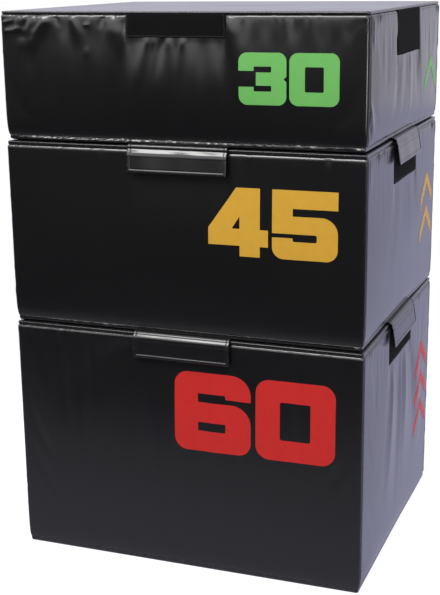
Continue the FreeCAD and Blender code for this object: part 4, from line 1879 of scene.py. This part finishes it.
@dataclass
class Flap:
    """A flap of doubled vinyl that hangs from the base of a box over the box below, with its hook strip.

    The bend is how wide it curves over the edge, tight how far it lies close below that. From there it
    flares out over the flare drop, and the puff holds its tip away from the box below.
    """

    label: str
    side: Side
    palette: Palette
    beads: BeadTree
    seed: int
    bend: float = 3.5 * MM
    flare: float = 2.8 * MM
    flare_drop: float = 7.0 * MM
    puff: float = 0.0
    wave: float = 0.25 * MM
    thickness: float = 2.0 * MM
    hem: float = 6.5 * MM
    tight: float = 4.0 * MM
    sewn_down: float = 14.0 * MM
    sewn_depth: float = 1.1 * MM
    hook_pitch: float = 3.3 * MM

    def __post_init__(self) -> None:
        """Takes the flap's axis, lean and sizes from the frame."""
        joint = next(j for j in frame["joints"] if j["name"] == self.body + "_swing")
        low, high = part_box(self.body)
        to_front = Matrix.Rotation(-self.side.value * math.pi / 2, 3, "Z")
        corners = [to_front @ low, to_front @ high]
        axis = to_front @ Vector(joint["pos_m"])
        self.axis_y = axis.y
        self.axis_z = axis.z
        self.half = max(abs(corner.x) for corner in corners)
        self.length = axis.z - low.z
        self.tip_out = axis.y - min(corner.y for corner in corners) - self.thickness / 2

    @property
    def body(self) -> str:
        """The flap's own body."""
        return "flap_%s_%s" % (self.side.label, self.label)

    def section(self) -> tuple[np.ndarray, np.ndarray]:
        """The flap's line from its root, over the edge below, down to its tip, drawn for the front.

        Returns:
            Rows of (y, z), and lengths from the end of the bend, negative before it.
        """
        tip = self.tip_out + self.puff
        low = self.tight + self.flare_drop
        marks = [(-back, ROOT_RISE + up) for back, up in ROOT_MARKS]
        marks += [(-share * self.bend, ROOT_RISE - drop * self.bend) for share, drop in BEND_MARKS]
        marks.append((-BEND_END, -self.tight))
        marks += [(self.flare * share, -self.tight - self.flare_drop * share) for share in FLARE_SHARES]
        for share in np.linspace(0, 1, HANG_MARKS):
            drop = low + HANG_START + (self.length - low - HANG_START) * share
            marks.append((self.flare + (tip - self.flare) * share, -drop))
        places = np.array([(self.axis_y - out, self.axis_z + up) for out, up in marks])
        line = spline(places, SECTION_STEPS)
        steps = np.linalg.norm(np.diff(line, axis=0), axis=1)
        lengths = np.concatenate([[0], np.cumsum(steps)])
        bend = int(np.argmin(np.abs(line[:, 1] - (self.axis_z - BEND_DROP))))
        return line, lengths - lengths[bend]

    def surface(self) -> tuple[np.ndarray, np.ndarray, np.ndarray, np.ndarray]:
        """The middle surface of the flap.

        Returns:
            Points, outward directions, lengths across, and lengths down from the bend.
        """
        draws = np.random.default_rng(self.seed)
        line, down = self.section()
        across = graded(-self.half, self.half, *FLAP_ACROSS)
        u, t = np.meshgrid(across, down)
        along = np.gradient(line, axis=0)
        along /= np.linalg.norm(along, axis=1)[:, None]
        out = np.stack([along[:, 1], -along[:, 0]], axis=1)
        total = down[-1]
        loose = smooth_step(t, *FLAP_LOOSE)
        rise = loose * ripple(draws, u, FLAP_WAVES, self.wave) * (ROOT_WAVE + (1 - ROOT_WAVE) * t / total)
        roll = np.exp(-((t - ROLL_DROP) / ROLL_DROP) ** 2)
        rise += roll * ripple(draws, u, ROLL_WAVES, 0.5 * self.wave)
        points = np.zeros((*u.shape, 3))
        points[..., 0] = u
        points[..., 1] = line[:, 0][:, None] + out[:, 0][:, None] * rise
        points[..., 2] = line[:, 1][:, None] + out[:, 1][:, None] * rise
        outs = np.zeros_like(points)
        outs[..., 1] = out[:, 0][:, None]
        outs[..., 2] = out[:, 1][:, None]
        return points, outs, u, t

    def build(self) -> None:
        """Makes the flap, its stitches and its hook strip."""
        points, outs, u, t = self.surface()
        total = t.max()
        border = np.minimum(self.half - np.abs(u), total - t)
        border = np.where(t > 0, border, self.half - np.abs(u))
        hem = HEM_RISE * smooth_step(self.hem - border, *HEM_EASE)
        groove = np.maximum(HEM_DENT[0] * np.exp(-((border - self.hem) / HEM_DENT[1]) ** 2),
                            self.sewn_depth * np.exp(-((t - self.sewn_down) / SEWN_WIDTH) ** 2))
        edge = FLAP_EDGE[0] * np.exp(-np.maximum(border, 0) / FLAP_EDGE[1])
        outer = points + outs * (self.thickness / 2 + hem - groove - edge)[..., None]
        shown = self.side.turned(outer)
        piece = new_piece(self.body + "_vinyl", grid_mesh("flap", shown), self.palette.vinyl)
        keep_numbers(piece.data, WEAR_ATTRIBUTE, np.exp(-border / FLAP_WEAR))
        thicken(piece, self.thickness)
        behind, over = SWING_START
        root = Vector(self.side.turned(np.array([0, self.axis_y + behind, self.axis_z + over])))
        end = Vector(self.side.turned(np.array([0, self.axis_y, self.axis_z - SWING_END])))
        "box_" + self.label
        self.body
        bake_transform(piece)
        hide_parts(self.body, "flap_roots_" + self.label)
        flat_length = self.section()[1]
        "cover_base_" + self.label
        log.info("%s hangs from box_%s", piece.name, self.label)
        self.stitches()
        self.hooks()

    def stitches(self) -> None:
        """Sews the flap's hem and the line that holds the hook strip."""
        points, outs, u, t = self.surface()
        inset = self.hem
        low_row = int(np.argmin(np.abs(t[:, 0] - (t.max() - inset))))
        high_row = int(np.argmin(np.abs(t[:, 0] - self.sewn_down)))
        left = int(np.argmin(np.abs(u[0] + self.half - inset)))
        right = u.shape[1] - 1 - left
        rows = slice(high_row, low_row + 1)
        columns = slice(left, right + 1)
        lift = self.thickness / 2 + FLAP_STITCH_LIFT
        picks = [(low_row, columns), (high_row, columns), (rows, left), (rows, right)]
        lines = []
        for row, column in picks:
            out = self.side.turned(outs[row, column])
            lines.append((self.side.turned(points[row, column]) + out * lift, out))
        piece = self.beads.piece(self.body + "_stitches", lines, FLAP_STITCH_PITCH, FLAP_STITCH_SIZE,
                                 self.palette.thread)
        seat(piece, self.body, "vinyl")

    def hooks(self) -> None:
        """Lays the hook strip on the flap's inner face."""
        points, outs, u, t = self.surface()
        rows = (t[:, 0] > STRIP_DROP) & (t[:, 0] < t.max() - STRIP_OVER_TIP)
        columns = np.abs(u[0]) < self.half - STRIP_INSET
        picked = np.ix_(rows, columns)
        border = np.minimum(np.abs(u[0][columns]).max() - np.abs(u[picked]),
                            np.minimum(t[picked] - t[picked].min(), t[picked].max() - t[picked]))
        rise, reach = STRIP_RISE
        inward = self.thickness / 2 + STRIP_GAP + rise * (1 - np.exp(-border / reach))
        inner = points[picked] - outs[picked] * inward[..., None]
        piece = new_piece(self.body + "_hook_strip", grid_mesh("hook", self.side.turned(inner)[:, ::-1]),
                          self.palette.hook)
        thicken(piece, STRIP_THICKNESS)
        seat(piece, self.body, "hook", "hook_%s_%s" % (self.side.label, self.label))
        self.body + "_vinyl"
        lines = []
        above, below = HOOK_MARGINS
        columns = np.abs(u[0]) < self.half - HOOK_INSET
        for down in np.arange(t[picked].min() + above, t[picked].max() - below, self.hook_pitch):
            row = int(np.argmin(np.abs(t[:, 0] - down)))
            inward = self.side.turned(-outs[row, columns])
            spots = self.side.turned(points[row, columns]) + inward * (self.thickness / 2 + HOOK_LIFT)
            lines.append((spots, inward))
        bristles = self.beads.piece(self.body + "_hooks", lines, self.hook_pitch, HOOK_SIZE,
                                    self.palette.hook, segments=5, rings=3)
        seat(bristles, self.body, "hook")


# Zip


@dataclass
class Zip:
    """The zip that closes a cover along its back hem."""

    cover: BoxCover
    palette: Palette
    beads: BeadTree
    steps: tuple = (1.5 * MM, 8 * MM, 12 * MM)
    edge: float = 0.4 * MM
    gap: float = 0.3 * MM
    outs: tuple = (0.1 * MM, 0.7 * MM, 0.8 * MM, 0.9 * MM)
    tape_thickness: float = 0.7 * MM
    coil_pitch: float = 1.7 * MM
    coil_size: tuple = (0.62 * MM, 1.35 * MM, 0.75 * MM)
    coil_out: float = 1.75 * MM
    coil_off: float = 1.1 * MM
    coil_end: float = 2 * MM
    coil_step: float = 10 * MM

    def build(self) -> None:
        """Makes the tapes and coils, and dresses the slider and the pull."""
        label = self.cover.label
        node = "zip_chain_" + label
        low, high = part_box(node)
        middle = (low.z + high.z) / 2
        x = graded(low.x, high.x, *self.steps)
        rows = [low.z, low.z + self.edge, (low.z + middle) / 2, middle - self.gap, middle + self.gap,
                (high.z + middle) / 2, high.z - self.edge, high.z]
        out = np.array(self.outs + self.outs[::-1])
        across, up = np.meshgrid(x, np.array(rows))
        points = np.stack([across, low.y + np.broadcast_to(out[:, None], up.shape), up], axis=-1)
        tape = new_piece("zip_tapes_" + label, grid_mesh("tape", points[:, ::-1]), self.palette.tape)
        thicken(tape, self.tape_thickness)
        seat(tape, self.cover.body, "zip_tape", node)
        "cover_back_" + label
        run = np.arange(low.x + self.coil_end, high.x - self.coil_end, self.coil_step)
        lines = []
        for way in (-1, 1):
            line = np.stack([run + (0.5 + 0.25 * way) * self.coil_pitch,
                             np.full_like(run, low.y + self.coil_out),
                             np.full_like(run, middle + way * self.coil_off)], axis=-1)
            lines.append((line, np.tile([0.0, 1.0, 0.0], (len(run), 1))))
        coil = self.beads.piece("zip_coils_" + label, lines, self.coil_pitch, self.coil_size,
                                self.palette.thread, segments=5, rings=4)
        seat(coil, self.cover.body, "zip_tape")
        for part in ("zip_slider_", "zip_pull_"):
            materials = frame["nodes"][part + label].data.materials
            materials.clear()
            materials.append(self.palette.metal)


# Studio


class Studio:
    """Camera, floor, soft lamps and the white surround."""

    FOCAL_PIXELS = 1233.18
    IMAGE_HEIGHT = 595
    SENSOR = 36.0
    CAMERA_PLACE = (1.0812, -2.9663, 1.4449)
    CAMERA_RIGHT = (0.935994, 0.351816, -0.011855)
    CAMERA_DOWN = (0.080284, -0.24614, -0.965903)
    CAMERA_FORWARD = (-0.342738, 0.903128, -0.258631)
    BEHIND = (0.81, 0.80, 0.94)
    BEHIND_FLOOR = (0.64, 0.635, 0.88)
    AHEAD = (2.2, 2.2, 2.25)
    AHEAD_SCATTERED = (0.3, 0.3, 0.31)
    DIM = (0.016, 0.016, 0.018)
    WHITE = (1, 1, 1, 1)
    PAPER = (0.40, 0.40, 0.40)
    PAPER_AHEAD = (0.45, 0.45, 0.53)
    GLOW = 0.74
    FLOOR_RADIUS = 9.0
    FLOOR_CORNERS = 96
    WHITE_FROM = (1.1, 1.9)
    AHEAD_DEPTHS = (-2.1, -0.3)
    BEHIND_DEPTHS = (-0.5, -0.1)

    def camera(self) -> None:
        """Stands the camera where the photograph was taken from."""
        data = bpy.data.cameras.new("camera")
        data.sensor_width = self.SENSOR
        data.lens = self.FOCAL_PIXELS / self.IMAGE_HEIGHT * self.SENSOR
        data.clip_end = 100.0
        camera = bpy.data.objects.new("camera", data)
        turn = Matrix((self.CAMERA_RIGHT, self.CAMERA_DOWN, self.CAMERA_FORWARD)).transposed()
        turn = turn @ Matrix.Diagonal((1, -1, -1))
        camera.matrix_world = Matrix.Translation(self.CAMERA_PLACE) @ turn.to_4x4()
        bpy.context.scene.collection.objects.link(camera)
        bpy.context.scene.camera = camera

    def lamp(self, name: str, place: tuple, aim: tuple, size: tuple, radiance: float,
             colour: tuple = (1, 1, 1), glossy: bool = True) -> None:
        """Hangs a softbox.

        Args:
            name: Name of the lamp.
            place: Where it hangs.
            aim: The point that it faces.
            size: Width and height.
            radiance: How bright its face is, where 1 is white.
            colour: Its colour.
            glossy: Whether it shows in reflections.
        """
        data = bpy.data.lights.new(name, "AREA")
        data.shape = "RECTANGLE"
        data.size, data.size_y = size
        data.energy = radiance * math.pi * size[0] * size[1]
        data.color = colour
        lamp = bpy.data.objects.new(name, data)
        lamp.location = place
        lamp.rotation_euler = (Vector(aim) - Vector(place)).to_track_quat("-Z", "Y").to_euler()
        lamp.visible_camera = False
        lamp.visible_glossy = glossy
        bpy.context.scene.collection.objects.link(lamp)

    def world(self) -> None:
        """A white surround for the camera; for everything else, white behind the boxes and dim in front."""
        world = bpy.data.worlds.new("surround")
        bpy.context.scene.world = world
        world.use_nodes = True
        graph = Graph(world.node_tree)
        way = graph.node("ShaderNodeTexCoord", output="Generated")
        depth = graph.node("ShaderNodeSeparateXYZ", None, {0: way}, "Y")
        up = graph.node("ShaderNodeSeparateXYZ", None, {0: way}, "Z")
        ahead = graph.mix(up.ease(0.0, 0.25), opaque(self.DIM), opaque(self.AHEAD))
        scattered = graph.node("ShaderNodeLightPath", output="Is Diffuse Ray")
        ahead = graph.mix(scattered, ahead, opaque(self.AHEAD_SCATTERED))
        colour = graph.mix(depth.ease(-0.1, 0.2), ahead, opaque(self.BEHIND))
        seen = graph.node("ShaderNodeLightPath", output="Is Camera Ray")
        colour = graph.mix(seen, colour, self.WHITE)
        graph.end(graph.node("ShaderNodeBackground", None, {"Color": colour, "Strength": 1.0}))

    def floor(self) -> None:
        """A plain pale floor that keeps the soft shadow of the boxes."""
        mesh = bpy.data.meshes.new("floor")
        work = bmesh.new()
        bmesh.ops.create_circle(work, cap_ends=True, segments=self.FLOOR_CORNERS, radius=self.FLOOR_RADIUS)
        work.to_mesh(mesh)
        work.free()
        material, graph = new_graph("floor")
        depth = graph.node("ShaderNodeSeparateXYZ", None, {0: graph.place()}, "Y")
        radius = graph.node("ShaderNodeVectorMath", {"operation": "LENGTH"}, {0: graph.place()}, "Value")
        seen = graph.node("ShaderNodeLightPath", output="Is Camera Ray")
        mirrored = graph.node("ShaderNodeLightPath", output="Is Glossy Ray")
        paper = graph.node("ShaderNodeBsdfDiffuse", None, {"Color": opaque(self.PAPER)})
        glow = graph.node("ShaderNodeEmission", None, {"Color": self.WHITE, "Strength": self.GLOW * seen})
        near = graph.node("ShaderNodeAddShader", None, {0: paper, 1: glow})
        white = graph.node("ShaderNodeEmission", None, {"Color": self.WHITE, "Strength": seen})
        far = radius.ease(*self.WHITE_FROM)
        lit = graph.node("ShaderNodeMixShader", None, {0: far, 1: near, 2: white})
        ahead = graph.mix(depth.ease(*self.AHEAD_DEPTHS), opaque(self.DIM), opaque(self.PAPER_AHEAD))
        around = graph.mix(depth.ease(*self.BEHIND_DEPTHS), ahead, opaque(self.BEHIND_FLOOR))
        reflected = graph.node("ShaderNodeEmission", None, {"Color": around, "Strength": 1.0})
        graph.end(graph.node("ShaderNodeMixShader", None, {0: mirrored, 1: lit, 2: reflected}))
        floor = new_piece("floor", mesh, material)

    def build(self) -> None:
        """Sets up the whole studio."""
        self.camera()
        self.world()
        self.floor()
        self.lamp("key", (-0.6, -1.75, 3.0), (0, 0, 0.8), (1.9, 0.9), 14.0, (1.0, 0.99, 0.97))
        self.lamp("fill", (1.9, -3.4, 2.3), (0, 0, 0.7), (0.9, 1.5), 5.0)
        self.lamp("edge_card", (2.25, -2.15, 1.0), (0.44, -0.38, 1.2), (0.6, 0.4), 14.0)
        self.lamp("side", (3.2, 0.6, 2.4), (0.44, 0, 0.7), (1.6, 1.6), 5.0, glossy=False)
        bpy.context.scene.view_settings.view_transform = "Standard"


# The set

SOFT_TOP = Gathers(8 * MM, 1.2 * MM, 12 * MM, 2.8 * MM)
TAUT_TOP = Gathers(24 * MM, 0.25 * MM, 10 * MM, 6.0 * MM)
SOFT_HEM = Gathers(7 * MM, 0.9 * MM, 8 * MM, 2.3 * MM)
TAUT_HEM = Gathers(15 * MM, 0.3 * MM, 8 * MM, 3.5 * MM)

FOLDS_30 = {
    Side.FRONT: hand_folds(
        ((-318, 291), (-392, 190), 12, 7.0, 2.0),
        ((-352, 292), (-380, 235), 6, 3.8),
        ((-376, 292), (-412, 240), 6, 3.2),
        ((-404, 264), (-360, 252), 6, 1.6),
        ((-365, 236), (-345, 222), 5, 2.2),
        ((-256, 292), (-232, 215), 6, 3.4, 3.0),
        ((-205, 292), (-214, 235), 5, 1.8, 3.0),
        ((-152, 292), (-134, 190), 13, 4.0, 2.0),
        ((-172, 258), (-92, 256), 18, 1.5, 1.0),
        ((112, 262), (190, 262), 18, 1.2, 1.0),
        ((-436, 276), (-396, 284), 4, 1.6, 1.4),
        ((-432, 256), (-380, 262), 5, 1.4, 1.4),
        ((-398, 232), (-352, 228), 4, 1.8, 1.4),
        ((-392, 290), (-400, 262), 3, 2.6, 1.6),
        ((-340, 291), (-356, 262), 3.5, 3.0, 1.6),
        ((-298, 291), (-286, 262), 4, -2.0, 1.6),
        ((-176, 291), (-186, 258), 4, -2.0, 1.6),
        ((-67, 246), (-96, 110), 7, 3.2, 3.0),
        ((-66, 247), (-70, 222), 3, 3.0, 1.4),
        ((-51, 247), (-56, 216), 3, 3.6, 1.4),
        ((-38, 247), (-41, 220), 2.6, 2.4, 1.4),
        ((-32, 246), (-50, 120), 4.5, -2.6, 2.4),
        ((-14, 247), (-18, 214), 3, 3.0, 1.4),
        ((-13, 246), (-24, 90), 8, 3.0, 3.0),
        ((3, 247), (1, 224), 2.6, 2.2, 1.4),
        ((19, 247), (17, 212), 3.2, 3.4, 1.4),
        ((19, 246), (14, 130), 7, 2.8, 3.0),
        ((-224, 214), (-206, 206), 4, 1.8),
        ((-222, 273), (-206, 268), 4, 1.8),
        ((132, 292), (148, 170), 14, 3.4, 2.0),
    ),
    Side.RIGHT: hand_folds(
        ((-127, 250), (-112, 30), 9, -2.4, 2.4),
        ((-62, 192), (-66, 30), 16, 1.4, 2.0),
        ((18, 192), (36, 20), 15, 2.0, 1.8),
        ((92, 192), (102, 40), 14, -1.4, 2.0),
        ((-352, 291), (-338, 205), 6, 3.0, 1.6),
        ((-360, 250), (-344, 215), 5, -2.0, 1.6),
        ((-362, 100), (-322, 20), 9, 3.0, 1.6),
        ((-362, 60), (-340, 16), 6, -2.2, 1.6),
    ),
}
FOLDS_45 = {
    Side.RIGHT: hand_folds(
        ((-60, 336), (-80, 120), 26, 0.8, 2.0),
        ((60, 336), (70, 90), 24, 0.7, 2.0),
        ((-352, 440), (-345, 340), 7, 1.6, 1.6),
    ),
}
FOLDS_60 = {
    Side.FRONT: hand_folds(
        ((-120, 575), (-440, 330), 30, -4.0, 2.6),
        ((-112, 535), (-150, 420), 9, 2.0, 2.6),
    ),
    Side.RIGHT: hand_folds(
        ((-76, 476), (-128, 60), 17, 2.6, 2.2),
        ((-8, 476), (-36, 30), 19, -2.2, 2.2),
        ((62, 476), (52, 60), 19, 2.6, 2.2),
        ((130, 476), (200, 120), 21, -2.0, 2.0),
        ((215, 420), (262, 60), 25, 1.6, 2.0),
    ),
}

FRILLS_30 = ((-250 * MM, 130 * MM, 5.0 * MM), (-60 * MM, 90 * MM, 2.0 * MM), (90 * MM, 60 * MM, 1.8 * MM),
             (250 * MM, 120 * MM, 1.1 * MM), (428 * MM, 12 * MM, 3.0 * MM))
FRILLS_45 = ((-285 * MM, 75 * MM, 0.55 * MM), (-180 * MM, 35 * MM, 0.75 * MM), (432 * MM, 9 * MM, 1.6 * MM))



def in_mm(**lengths: float) -> dict:
    """Lengths that are given in millimetres, as metres."""
    return {name: length * MM for name, length in lengths.items()}


LOOKS = {
    "60": SewnLook(
        seed=600, top_roll=(12 * MM, 3 * MM), base_roll=(6 * MM, 6 * MM), top_gathers=TAUT_TOP,
        hem_gathers=TAUT_HEM, folds=FOLDS_60,
        **in_mm(corner=6, seam_drop=10, top_rise=0, lip=1.7, pillow=0, slack=0.09, sag=0.6, pucker_zone=24,
                hem_draw=2, hem_groove=0.8)),
    "45": SewnLook(
        seed=450, top_roll=(13 * MM, 3 * MM), base_roll=(17 * MM, 7 * MM), top_gathers=TAUT_TOP,
        hem_gathers=TAUT_HEM, frills=FRILLS_45, folds=FOLDS_45,
        **in_mm(corner=4, seam_drop=10, top_rise=0, lip=1.9, pillow=0, slack=0.06, sag=0.2, pucker_zone=24,
                hem_draw=4, hem_groove=0.8)),
    "30": SewnLook(
        seed=300, top_roll=(3 * MM, 3 * MM), base_roll=(18 * MM, 7 * MM), top_gathers=SOFT_TOP,
        hem_gathers=SOFT_HEM, frills=FRILLS_30, folds=FOLDS_30,
        **in_mm(corner=8, seam_drop=7, top_rise=2.2, lip=2.2, pillow=2.9, slack=0.1, sag=1.2, pucker_zone=46,
                hem_draw=3.5, hem_groove=0.9)),
}
CHEVRON_SIDE = Side.RIGHT
FLAP_HANGS = {
    ("30", Side.FRONT): in_mm(bend=1.4, flare=6.5, flare_drop=11, puff=7.6, wave=0.6, sewn_depth=0.1),
    ("30", Side.BACK): in_mm(flare=4, flare_drop=9, puff=3, wave=0.5),
    ("45", Side.FRONT): in_mm(tight=1.5, flare=3.8, flare_drop=5, puff=0.8, wave=0.3, sewn_depth=0.3),
    ("45", Side.BACK): in_mm(flare=2, flare_drop=6, puff=2, wave=0.4),
}
FLAP_SEED = 60


def dress_box(label: str, palette: Palette, beads: BeadTree) -> None:
    """Builds one box with everything that is fixed to it and every flap that hangs from it.

    Args:
        label: The box's height in centimetres.
        palette: The materials.
        beads: The tree that sets stitches and coils.
    """
    cover = BoxCover(label, LOOKS[label], palette.vinyl)
    cover.build()
    FoamCore(cover, palette.foam).build()
    patches = [LoopPatch(cover, side, palette.loop) for side in Side]
    for patch in patches:
        patch.build()
    PrintFilm(cover, Side.FRONT, "number_" + label, palette.ink[label]).build()
    PrintFilm(cover, CHEVRON_SIDE, "chevrons_" + label, palette.ink[label]).build()
    CoverStitches(cover, beads, palette.thread, patches).build()
    Zip(cover, palette, beads).build()
    if "flap_front_" + label in frame["nodes"]:
        for side in Side:
            hang = FLAP_HANGS.get((label, side), {})
            seed = cover.look.seed + FLAP_SEED + side.value
            Flap(label, side, palette, beads, seed, **hang).build()


def main() -> None:
    """Builds the set and its studio."""
    logging.basicConfig(level=logging.INFO, format="%(name)s: %(message)s")
    palette = Palette()
    beads = BeadTree("beads_along_lines")
    for label in LOOKS:
        dress_box(label, palette, beads)
    Studio().build()


if __name__ == "__main__":
    main()
